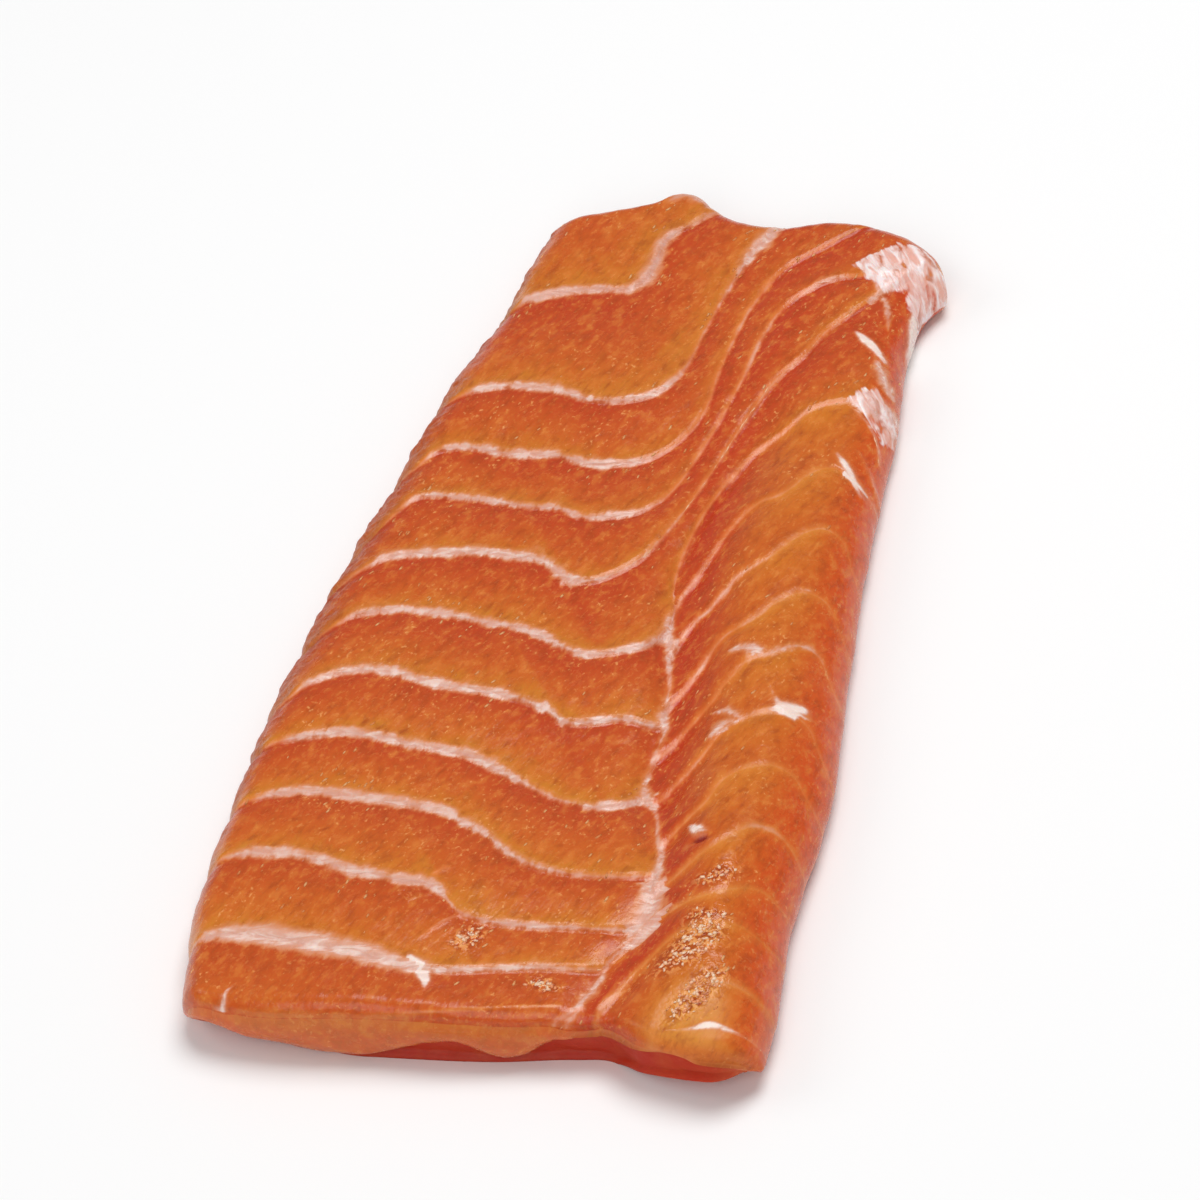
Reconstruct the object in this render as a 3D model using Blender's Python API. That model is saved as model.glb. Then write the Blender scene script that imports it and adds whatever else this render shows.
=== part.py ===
"""A salmon escalope: one raw slice of fillet that lies flat on its underside.

The slice is one closed solid. Its outline is four smooth edges through a few plan points. Its top is a
sum of smooth heights: a crowned left field, a valley along the seam of the muscle, and a crest that rolls
down to the right edge, with the flakes as low steps between their lines. Its sides are rounded shoulders
over short walls, and its underside is flat but for a shallow arch under the front right corner.

Plan points and sizes are in millimetres: x across the slice to the right, y along it to the back, z up.
The finished mesh is in metres, with its origin in the middle of the bottom of its box.
"""

import math

import bmesh
import bpy
import numpy as np

MM = 0.001
TINY = 1e-9  # keeps a share defined where both of its parts are zero

# Outline, seen from above
LEFT_EDGE = (
    (-39.0, -80.5), (-41.6, -68.0), (-42.8, -48.0), (-42.6, -24.0), (-40.6, 2.0),
    (-37.2, 26.0), (-33.6, 48.0), (-30.0, 66.0), (-27.0, 82.5),
)
RIGHT_EDGE = (
    (40.2, -79.5), (40.0, -68.0), (38.4, -54.0), (39.0, -30.0), (36.4, -6.0),
    (34.2, 20.0), (32.8, 48.0), (31.6, 63.0), (32.0, 70.0), (36.0, 78.0),
)
FRONT_EDGE = (
    LEFT_EDGE[0], (-31.0, -81.6), (-14.0, -80.4), (4.0, -78.8), (14.0, -77.0),
    (18.5, -76.6), (24.0, -79.6), (32.0, -81.2), RIGHT_EDGE[0],
)
BACK_EDGE = (
    LEFT_EDGE[-1], (-14.0, 87.4), (-11.2, 89.0), (-9.2, 90.8), (-6.4, 91.0), (-3.8, 88.9),
    (0.0, 86.6), (6.0, 85.6), (16.0, 87.4), (27.0, 84.6), RIGHT_EDGE[-1],
)

# Heights of the top
FRONT_THICKNESS = 9.6
BACK_THICKNESS = 8.0
CROWN_HEIGHT = 0.7
CROWN_CENTRE = -14.0
CROWN_WIDTH = 20.0
CREST_INSET = 10.5  # from the right edge
CREST_WIDTH = 9.0
CREST_HEIGHT = ((-82.0, 0.6), (-68.0, 2.6), (-40.0, 3.1), (0.0, 2.8), (45.0, 1.8), (90.0, 0.8))
SEAM = (
    (-82.0, 14.0), (-70.0, 16.8), (-57.0, 20.6), (-46.0, 18.8), (-35.0, 14.8),
    (-20.0, 14.0), (0.0, 10.7), (12.0, 9.6), (30.0, 13.0), (90.0, 22.0),
)
VALLEY_DEPTH = ((-82.0, 0.8), (-60.0, 1.5), (-10.0, 1.7), (20.0, 1.2), (50.0, 0.5), (90.0, 0.0))
VALLEY_LEFT_WIDTH = 2.6
VALLEY_RIGHT_WIDTH = 6.0
SWELL_HEIGHT = 0.22  # of the slow unevenness of a soft surface
SWELL_WAVES = ((0.115, 0.045, 0.4), (-0.06, 0.11, 1.9), (0.03, -0.19, 4.2))  # per mm across, per mm along, phase

# Flakes: where their lines cross the left field, and where those of the right field leave the seam
LEFT_LINES = (-84.0, -68.5, -54.0, -42.0, -30.5, -18.0, -5.5, 7.0, 18.5, 29.0, 42.0, 64.5, 92.0)
RIGHT_LINES = (-90.0, -81.0, -73.0, -66.0, -59.0, -51.0, -43.0, -36.0, -28.0, -17.0, -7.0, 1.0, 8.0)
DIVIDE = (
    (-90.0, 13.0), (-70.0, 16.8), (-57.0, 20.6), (-46.0, 18.8), (-35.0, 14.8), (-20.0, 14.0),
    (0.0, 10.7), (12.0, 9.6), (25.0, 12.0), (34.0, 15.5), (45.0, 26.0), (56.0, 48.0), (100.0, 90.0),
)
SAG = ((-90.0, -4.0), (-55.0, -8.0), (-30.0, -8.0), (-5.0, -4.0), (6.0, 0.0), (90.0, 0.0))
SAG_START, SAG_LENGTH = -12.0, 18.0
TURN_HEIGHT, TURN_SLOPE, TURN_CORNER = 52.5, 3.5, 4.0  # the lines that turn to the back beside the seam
RISE = ((-90.0, 6.0), (-70.0, 8.0), (-50.0, 13.0), (-30.0, 18.0), (-5.0, 24.0), (20.0, 34.0), (90.0, 44.0))
LEFT_STEP, RIGHT_STEP = 0.35, 0.75  # height that the top drops at a flake's line
RIGHT_STEP_FADE = 0.6  # share of the right step that is gone at the crest
MEETING_Y = 8.0  # where the right field's first line leaves the seam

# Sides: how far a shoulder reaches in, how far it drops, how far the wall under it leans out and tucks in
LEFT_SHOULDER = ((-82.0, 3.6), (-45.0, 4.2), (-15.0, 7.2), (10.0, 7.2), (40.0, 5.6), (90.0, 4.6))
RIGHT_SHOULDER = ((-82.0, 7.0), (-50.0, 9.5), (0.0, 9.0), (50.0, 7.0), (90.0, 5.0))
FRONT_SHOULDER, BACK_SHOULDER = 2.2, 3.4
SIDE_DROP = {"left": 0.62, "right": 0.66, "front": 0.2, "back": 0.42}  # share of the height there
WALL_LEAN = {"left": 0.0, "right": 0.0, "front": 0.8, "back": 0.0}
WALL_TUCK = {"left": 1.3, "right": 3.4, "front": 1.2, "back": 1.6}
CORNER_TUCK = 6.5  # the walls tuck further under round the front left corner
CORNER_FROM, CORNER_REACH = (-14.0, -62.0), (24.0, 18.0)

# Arch under the front right corner
ARCH_HEIGHT = 3.4
ARCH_CENTRE, ARCH_HALF_WIDTH = 32.5, 13.0
ARCH_DEPTH = 13.0

# Mesh: rows of points over each shoulder and over the field between them
LEFT_ROWS, FIELD_COLUMNS, RIGHT_ROWS = 4, 25, 6
FRONT_ROWS, FIELD_ROWS, BACK_ROWS = 2, 65, 3
WALL_ROWS = 5
UNDERSIDE_RINGS = (0.965, 0.93, 0.885, 0.82)  # shares of the outline, from the wall inwards
CAP_SHARE, CAP_STEP = 0.7, 10  # the flat middle of the underside, and how many edge points it skips

FLESH_COLOUR = (0.66, 0.115, 0.02, 1.0)
FLESH_ROUGHNESS = 0.36


class Curve:
    """A smooth curve through a few values, read at any number between its first and last knot."""

    def __init__(self, knots, values):
        self.knots = np.array(knots, float)
        self.values = np.array(values, float)
        self.slopes = np.gradient(self.values, self.knots, axis=0)

    @classmethod
    def outline(cls, points):
        """A plan curve whose knots are shares of the length along its points."""
        points = np.array(points)
        chords = np.linalg.norm(np.diff(points, axis=0), axis=1)
        return cls(np.concatenate([[0.0], np.cumsum(chords)]) / chords.sum(), points)

    @classmethod
    def profile(cls, pairs):
        """A value that changes with y, from (y, value) pairs."""
        return cls(*zip(*pairs))

    def at(self, where):
        where = np.clip(where, self.knots[0], self.knots[-1])
        k = np.clip(np.searchsorted(self.knots, where, side="right") - 1, 0, len(self.knots) - 2)
        step = self.knots[k + 1] - self.knots[k]
        t = (where - self.knots[k]) / step
        if self.values.ndim == 2:
            t, step = t[..., None], step[..., None]
        start = (2 * t**3 - 3 * t**2 + 1) * self.values[k] + (t**3 - 2 * t**2 + t) * step * self.slopes[k]
        end = (3 * t**2 - 2 * t**3) * self.values[k + 1] + (t**3 - t**2) * step * self.slopes[k + 1]
        return start + end


LEFT, RIGHT = Curve.outline(LEFT_EDGE), Curve.outline(RIGHT_EDGE)
FRONT, BACK = Curve.outline(FRONT_EDGE), Curve.outline(BACK_EDGE)


def smooth_step(t):
    t = np.clip(t, 0.0, 1.0)
    return t * t * (3 - 2 * t)


def plan(u, v):
    """The plan point at a share u across and v along the slice, between its four edges."""
    across, along = u[..., None], v[..., None]
    sides = (1 - across) * LEFT.at(v) + across * RIGHT.at(v)
    ends = (1 - along) * FRONT.at(u) + along * BACK.at(u)
    front = (1 - across) * LEFT.values[0] + across * RIGHT.values[0]
    back = (1 - across) * LEFT.values[-1] + across * RIGHT.values[-1]
    return sides + ends - (1 - along) * front - along * back


def right_edge_x(y):
    edge = RIGHT.values
    return np.interp(y, edge[:, 1], edge[:, 0])


def base_height(x, y):
    """The smooth height of the top: thickness, crown, crest, seam valley and slow swells."""
    front, back = FRONT.values[:, 1].min(), BACK.values[:, 1].max()
    thickness = FRONT_THICKNESS + (BACK_THICKNESS - FRONT_THICKNESS) * smooth_step((y - front) / (back - front))
    crown = CROWN_HEIGHT * np.exp(-(((x - CROWN_CENTRE) / CROWN_WIDTH) ** 2))
    crest_x = right_edge_x(y) - CREST_INSET
    crest = Curve.profile(CREST_HEIGHT).at(y) * np.exp(-(((x - crest_x) / CREST_WIDTH) ** 2))
    from_seam = x - Curve.profile(SEAM).at(y)
    width = np.where(from_seam < 0, VALLEY_LEFT_WIDTH, VALLEY_RIGHT_WIDTH)
    valley = Curve.profile(VALLEY_DEPTH).at(y) * np.exp(-((from_seam / width) ** 2))
    swell = sum(np.sin(across * x + along * y + phase) for across, along, phase in SWELL_WAVES)
    return thickness + crown + crest - valley + SWELL_HEIGHT * swell


def share_between(position, lines):
    """How far each position lies from the line in front of it to the one behind it, from 0 to 1."""
    lines = np.array(lines)
    k = np.clip(np.searchsorted(lines, position) - 1, 0, len(lines) - 2)
    return np.clip((position - lines[k]) / (lines[k + 1] - lines[k]), 0.0, 1.0)


def flake_relief(x, y):
    """Each flake is highest at its front line and falls to the next line behind it."""
    sagged = y - Curve.profile(SAG).at(y) * smooth_step((x - SAG_START) / SAG_LENGTH)
    turned = TURN_HEIGHT - TURN_SLOPE * x
    joined = -TURN_CORNER * np.logaddexp(-sagged / TURN_CORNER, -turned / TURN_CORNER)
    left = LEFT_STEP * (0.5 - share_between(joined, LEFT_LINES))
    seam_x = Curve.profile(DIVIDE).at(np.minimum(y, MEETING_Y))
    reach = np.clip((x - seam_x) / (right_edge_x(y) - CREST_INSET - seam_x), 0.0, 1.0)
    risen = y - Curve.profile(RISE).at(y) * reach * (2 - reach)
    right = RIGHT_STEP * (0.5 - share_between(risen, RIGHT_LINES)) * (1 - RIGHT_STEP_FADE * reach)
    return np.where(x < Curve.profile(DIVIDE).at(y), left, right)


def arch(x, y):
    """The height of the underside, which is zero but for the arch at the front right."""
    front = np.interp(x, FRONT.values[:, 0], FRONT.values[:, 1])
    across = np.clip(1 - ((x - ARCH_CENTRE) / ARCH_HALF_WIDTH) ** 2, 0.0, 1.0)
    return ARCH_HEIGHT * across * (1 - smooth_step((y - front) / ARCH_DEPTH))


def lattice():
    """Shares of each shoulder for the mesh's columns and rows: 1 on the outline, 0 where the field starts.

    Returns:
        Column and row arrays, each of (side, share over the shoulder, share over the field).
    """
    def one_way(low_rows, field, high_rows):
        low = np.sin(np.linspace(math.pi / 2, 0, low_rows + 1))
        high = np.sin(np.linspace(0, math.pi / 2, high_rows + 1))
        between = np.linspace(0, 1, field + 1)
        side = np.concatenate([-np.ones(low_rows), np.zeros(field + 1), np.ones(high_rows)])
        shoulder = np.concatenate([low[:-1], np.zeros(field + 1), high[1:]])
        return side, shoulder, np.concatenate([np.zeros(low_rows), between, np.ones(high_rows)])

    return one_way(LEFT_ROWS, FIELD_COLUMNS, RIGHT_ROWS), one_way(FRONT_ROWS, FIELD_ROWS, BACK_ROWS)


def place(side, shoulder, field, low_reach, high_reach, whole):
    """The distance from the low edge of a column or row, as a share of the whole width or length."""
    inner = low_reach + field * (whole - low_reach - high_reach)
    low = low_reach * (1 - shoulder)
    high = whole - high_reach * (1 - shoulder)
    return np.where(side < 0, low, np.where(side > 0, high, inner)) / whole


def top_points():
    """The top of the slice as a grid of points, with what its walls need.

    Returns:
        Points as columns x rows x 3, and the weight of the left or right side against the ends.
    """
    (side_u, shoulder_u, field_u), (side_v, shoulder_v, field_v) = lattice()
    side_u, shoulder_u, field_u = (row[:, None] for row in (side_u, shoulder_u, field_u))
    side_v, shoulder_v, field_v = (row[None, :] for row in (side_v, shoulder_v, field_v))
    # A square corner of the grid becomes a round corner of the slice
    over_u = shoulder_u * np.sqrt(1 - shoulder_v**2 / 2)
    over_v = shoulder_v * np.sqrt(1 - shoulder_u**2 / 2)

    rough_v = place(side_v, over_v, field_v, FRONT_SHOULDER, BACK_SHOULDER, BACK.values[0, 1] - FRONT.values[0, 1])
    edge_y = LEFT.at(rough_v)[..., 1]
    left_reach, right_reach = Curve.profile(LEFT_SHOULDER).at(edge_y), Curve.profile(RIGHT_SHOULDER).at(edge_y)
    width = np.linalg.norm(RIGHT.at(rough_v) - LEFT.at(rough_v), axis=-1)
    u = place(side_u, over_u, field_u, left_reach, right_reach, width)
    length = np.linalg.norm(BACK.at(u) - FRONT.at(u), axis=-1)
    v = place(side_v, over_v, field_v, FRONT_SHOULDER, BACK_SHOULDER, length)

    xy = plan(u, v)
    x, y = xy[..., 0], xy[..., 1]
    round_off = np.clip(np.sqrt(over_u**2 + over_v**2), 0.0, 1.0)
    sideways = np.broadcast_to(over_u**2 / np.maximum(over_u**2 + over_v**2, TINY), x.shape)
    drop_side = np.where(side_u < 0, SIDE_DROP["left"], SIDE_DROP["right"])
    drop_end = np.where(side_v < 0, SIDE_DROP["front"], SIDE_DROP["back"])
    drop = sideways * drop_side + (1 - sideways) * drop_end
    height = base_height(x, y) + flake_relief(x, y) * (1 - round_off**2)
    z = height * (1 - drop * (1 - np.sqrt(1 - round_off**2)))
    return np.stack([x, y, z], axis=-1), sideways


def around(grid):
    """The border of a grid as one loop: front, right, back, left, counter-clockwise from above."""
    return np.concatenate([grid[:-1, 0], grid[-1, :-1], grid[:0:-1, -1], grid[0, :0:-1]])


def wall_rings(top, sideways):
    """Rings of points down the walls, from just under the top's border to the underside."""
    loop, weight = around(top), around(sideways)
    tangent = np.roll(loop, -1, axis=0) - np.roll(loop, 1, axis=0)
    outward = np.stack([tangent[:, 1], -tangent[:, 0]], axis=-1)
    outward /= np.linalg.norm(outward, axis=-1, keepdims=True)
    middle = loop[:, :2].mean(axis=0)
    right, back = loop[:, 0] > middle[0], loop[:, 1] > middle[1]

    def blend(table):
        side = np.where(right, table["right"], table["left"])
        return weight * side + (1 - weight) * np.where(back, table["back"], table["front"])

    lean, tuck = blend(WALL_LEAN), blend(WALL_TUCK)
    to_corner = np.prod(smooth_step((np.array(CORNER_FROM) - loop[:, :2]) / CORNER_REACH), axis=-1)
    tuck = tuck + CORNER_TUCK * to_corner
    lean = lean * (1 - to_corner)
    foot = arch(loop[:, 0], loop[:, 1])
    rings = []
    for angle in np.linspace(0, math.pi / 2, WALL_ROWS + 1)[1:]:
        down = math.sin(angle)
        shift = lean * down - tuck * (1 - math.cos(angle))
        xy = loop[:, :2] + outward * shift[:, None]
        z = foot + (loop[:, 2] - foot) * (1 - down)
        rings.append(np.column_stack([xy, z]))
    return rings


def underside_rings(last_wall):
    """Rings that close in under the slice, the last of them flat."""
    middle = last_wall[:, :2].mean(axis=0)
    rings = []
    for share in UNDERSIDE_RINGS:
        xy = middle + (last_wall[:, :2] - middle) * share
        rings.append(np.column_stack([xy, arch(xy[:, 0], xy[:, 1])]))
    cap = middle + (last_wall[::CAP_STEP, :2] - middle) * CAP_SHARE
    return rings, np.column_stack([cap, np.zeros(len(cap))])


def build_mesh():
    """The closed slice as a mesh in metres, its origin in the middle of the bottom of its box."""
    top, sideways = top_points()
    walls = wall_rings(top, sideways)
    under, cap = underside_rings(walls[-1])
    everything = np.concatenate([top.reshape(-1, 3), *walls, *under, cap])
    low, high = everything.min(axis=0), everything.max(axis=0)
    origin = np.array([(low[0] + high[0]) / 2, (low[1] + high[1]) / 2, low[2]])

    shape = bmesh.new()

    def add(points):
        return [shape.verts.new(point) for point in (points - origin) * MM]

    columns, rows = top.shape[:2]
    verts = add(top.reshape(-1, 3))
    grid = np.arange(columns * rows).reshape(columns, rows)
    for i in range(columns - 1):
        for j in range(rows - 1):
            corners = (grid[i, j], grid[i + 1, j], grid[i + 1, j + 1], grid[i, j + 1])
            shape.faces.new([verts[k] for k in corners])

    upper = [verts[k] for k in around(grid)]
    for points in (*walls, *under):
        lower = add(points)
        for k in range(len(upper)):
            shape.faces.new([upper[k - 1], lower[k - 1], lower[k], upper[k]])
        upper = lower

    inner = add(cap)
    for k in range(len(upper)):
        shape.faces.new([upper[k - 1], inner[(k - 1) // CAP_STEP], upper[k]])
        if k % CAP_STEP == 0:
            shape.faces.new([inner[k // CAP_STEP - 1], inner[k // CAP_STEP], upper[k]])
    shape.faces.new(list(reversed(inner)))

    bmesh.ops.triangulate(shape, faces=shape.faces[:])
    bmesh.ops.recalc_face_normals(shape, faces=shape.faces[:])
    mesh = bpy.data.meshes.new("escalope")
    shape.to_mesh(mesh)
    shape.free()
    mesh.shade_smooth()
    return mesh


def flesh_material():
    material = bpy.data.materials.new("salmon_flesh")
    material.use_nodes = True
    shader = material.node_tree.nodes["Principled BSDF"]
    shader.inputs["Base Color"].default_value = FLESH_COLOUR
    shader.inputs["Roughness"].default_value = FLESH_ROUGHNESS
    shader.inputs["Metallic"].default_value = 0.0
    return material


def main():
    for old in list(bpy.data.objects):
        bpy.data.objects.remove(old)
    mesh = build_mesh()
    mesh.materials.append(flesh_material())
    bpy.context.scene.collection.objects.link(bpy.data.objects.new("escalope", mesh))


main()
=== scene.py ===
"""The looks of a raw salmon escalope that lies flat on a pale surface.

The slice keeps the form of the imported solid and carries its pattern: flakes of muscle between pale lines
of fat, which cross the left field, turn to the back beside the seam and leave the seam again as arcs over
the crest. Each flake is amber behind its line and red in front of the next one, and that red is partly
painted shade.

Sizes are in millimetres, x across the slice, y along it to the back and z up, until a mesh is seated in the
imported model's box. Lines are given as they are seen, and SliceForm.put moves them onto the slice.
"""

import logging
import math
from collections.abc import Sequence
from dataclasses import dataclass, field
from enum import Enum
from typing import Any

import bpy
import numpy as np
from mathutils import Matrix, Vector
from mathutils.bvhtree import BVHTree


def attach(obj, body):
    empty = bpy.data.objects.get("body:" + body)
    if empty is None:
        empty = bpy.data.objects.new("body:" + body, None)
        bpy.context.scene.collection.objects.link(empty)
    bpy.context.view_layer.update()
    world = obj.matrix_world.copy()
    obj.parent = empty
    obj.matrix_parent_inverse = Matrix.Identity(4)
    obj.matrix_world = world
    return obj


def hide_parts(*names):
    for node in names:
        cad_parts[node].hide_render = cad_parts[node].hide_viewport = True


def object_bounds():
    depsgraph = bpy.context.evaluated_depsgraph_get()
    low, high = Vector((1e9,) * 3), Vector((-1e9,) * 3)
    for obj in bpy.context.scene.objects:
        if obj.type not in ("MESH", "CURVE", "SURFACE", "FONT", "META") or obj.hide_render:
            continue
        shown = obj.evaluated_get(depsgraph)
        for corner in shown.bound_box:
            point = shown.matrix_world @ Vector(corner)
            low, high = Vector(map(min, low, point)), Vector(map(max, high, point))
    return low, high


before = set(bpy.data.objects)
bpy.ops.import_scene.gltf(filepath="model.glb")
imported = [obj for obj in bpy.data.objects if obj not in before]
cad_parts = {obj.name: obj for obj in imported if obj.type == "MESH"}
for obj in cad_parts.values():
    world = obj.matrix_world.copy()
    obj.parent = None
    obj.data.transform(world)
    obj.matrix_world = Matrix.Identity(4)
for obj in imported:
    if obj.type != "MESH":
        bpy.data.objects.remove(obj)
CAD_LOW, CAD_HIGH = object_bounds()

Array = np.ndarray
Point = tuple[float, float]
Triple = tuple[float, float, float]
Colour = tuple[float, float, float, float]

MM = 0.001
TINY = 1e-9
FAR = 200.0  # well outside the slice
FRONT_Y = -60.0  # the front wall and its brow lie in front of this
STEEPEST = 3.0  # a flake line's slope over its base is held to this
FIBRE_TURN = 20.0  # the angle of the muscle's fibres to the slice's length, in degrees
THREAD_WHITENESS = 0.62  # lines less white than this carry no thread
LIKELIHOOD = "fleck"  # the attribute that tells where grains are likely
MIXED_COLOUR = 2  # a Mix node's colour among its outputs
LOG = logging.getLogger("escalope")


def tint(red: int, green: int, blue: int) -> Colour:
    """A linear colour from its screen values.

    Args:
        red: Screen red, 0 to 255.
        green: Screen green.
        blue: Screen blue.

    Returns:
        The same colour as linear red, green and blue, opaque.
    """
    shares = [value / 255 for value in (red, green, blue)]
    linear = [s / 12.92 if s <= 0.04045 else ((s + 0.055) / 1.055) ** 2.4 for s in shares]
    return (linear[0], linear[1], linear[2], 1.0)


def smooth_step(value: Array, low: float = 0.0, high: float = 1.0) -> Array:
    """An even rise from 0 at low to 1 at high, level at both ends."""
    share = np.clip((value - low) / (high - low), 0.0, 1.0)
    return share * share * (3 - 2 * share)


def hump(value: Array, centre: float | Array, width: float) -> Array:
    """A bell that is 1 at its centre and falls away over its width."""
    return np.exp(-(((value - centre) / width) ** 2))


def read_all(items: bpy.types.bpy_prop_collection, key: str, width: int = 3) -> Array:
    """Read a property of all of a mesh's items.

    Args:
        items: The items.
        key: The property.
        width: How many numbers it holds.

    Returns:
        A row of numbers for each item.
    """
    values = np.empty(len(items) * width, np.float32)
    items.foreach_get(key, values)
    return values.reshape(-1, width)


def add_object(name: str, data: bpy.types.ID) -> bpy.types.Object:
    """Make an object and link it to the scene.

    Args:
        name: The object's name.
        data: Its mesh, curve, light or camera.

    Returns:
        The new object.
    """
    made = bpy.data.objects.new(name, data)
    bpy.context.scene.collection.objects.link(made)
    return made


class Curve:
    """A smooth curve through a few values, read at any number between its first and last knot."""

    def __init__(self, knots: Sequence[float] | Array, values: Sequence[Any] | Array) -> None:
        """Keep the knots and the values, and work out the slopes.

        Args:
            knots: Numbers that rise.
            values: A number or a point for each knot.
        """
        self.knots = np.array(knots, float)
        self.values = np.array(values, float)
        self.slopes = np.gradient(self.values, self.knots, axis=0)

    @classmethod
    def along(cls, points: Sequence[Sequence[float]] | Array) -> "Curve":
        """Draw a path whose knots are shares of the length along its points.

        Args:
            points: Rows of x, y and anything else that changes along the path.

        Returns:
            The path.
        """
        points = np.array(points, float)
        chords = np.linalg.norm(np.diff(points[:, :2], axis=0), axis=1)
        return cls(np.concatenate([[0.0], np.cumsum(chords)]) / chords.sum(), points)

    @classmethod
    def profile(cls, pairs: Sequence[Point]) -> "Curve":
        """A value that changes with y, from (y, value) pairs."""
        return cls(*zip(*pairs))

    def at(self, where: Array) -> Array:
        """The curve's values at some places between its knots.

        Args:
            where: Places, held to the first and the last knot.

        Returns:
            A number or a point for each place.
        """
        where = np.clip(where, self.knots[0], self.knots[-1])
        k = np.clip(np.searchsorted(self.knots, where, side="right") - 1, 0, len(self.knots) - 2)
        step = self.knots[k + 1] - self.knots[k]
        t = (where - self.knots[k]) / step
        if self.values.ndim == 2:
            t, step = t[..., None], step[..., None]
        start = (2 * t**3 - 3 * t**2 + 1) * self.values[k] + (t**3 - 2 * t**2 + t) * step * self.slopes[k]
        end = (3 * t**2 - 2 * t**3) * self.values[k + 1] + (t**3 - t**2) * step * self.slopes[k + 1]
        return start + end


class SmoothNoise:
    """Smooth random values between -1 and 1 over a plane, the same in each run."""

    def __init__(self, seed: int, size: int = 97) -> None:
        """Draw the lattice of random values.

        Args:
            seed: Seed of the random draw.
            size: Points of the lattice each way, after which it repeats.
        """
        self.size = size
        self.values = np.random.default_rng(seed).uniform(-1.0, 1.0, (size, size))

    def at(self, across: Array, along: Array, octaves: int = 1) -> Array:
        """Noise at places given in steps of the lattice.

        Args:
            across: Places across.
            along: Places along.
            octaves: Layers, each half as wide and half as strong as the one before.

        Returns:
            The noise at each place.
        """
        total, weight = np.zeros(np.broadcast(across, along).shape), 0.0
        for layer in range(octaves):
            share, scale = 0.5**layer, 2.0**layer
            x, y = across * scale + 17.3 * layer, along * scale + 5.9 * layer
            i, j = np.floor(x).astype(int), np.floor(y).astype(int)
            u, v = smooth_step(x - i), smooth_step(y - j)
            i0, i1, j0, j1 = i % self.size, (i + 1) % self.size, j % self.size, (j + 1) % self.size
            front = (1 - u) * self.values[i0, j0] + u * self.values[i1, j0]
            back = (1 - u) * self.values[i0, j1] + u * self.values[i1, j1]
            total += share * ((1 - v) * front + v * back)
            weight += share
        return total / weight


@dataclass(frozen=True)
class Sight:
    """The direction that the slice is looked at from, and how height carries what is seen."""

    azimuth: float = 19.24
    elevation: float = 43.62
    roll: float = 8.35
    distance: float = 825.5
    plane: float = 9.6  # the height at which a point is seen at its own place

    def carried(self, height: Array) -> Array:
        """How far points are seen from their own place.

        Args:
            height: The height of each point.

        Returns:
            The distance across and along for each point.
        """
        reach = (height - self.plane) / math.tan(math.radians(self.elevation))
        turn = math.radians(self.azimuth)
        return np.stack([-reach * math.sin(turn), reach * math.cos(turn)], axis=-1)


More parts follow.
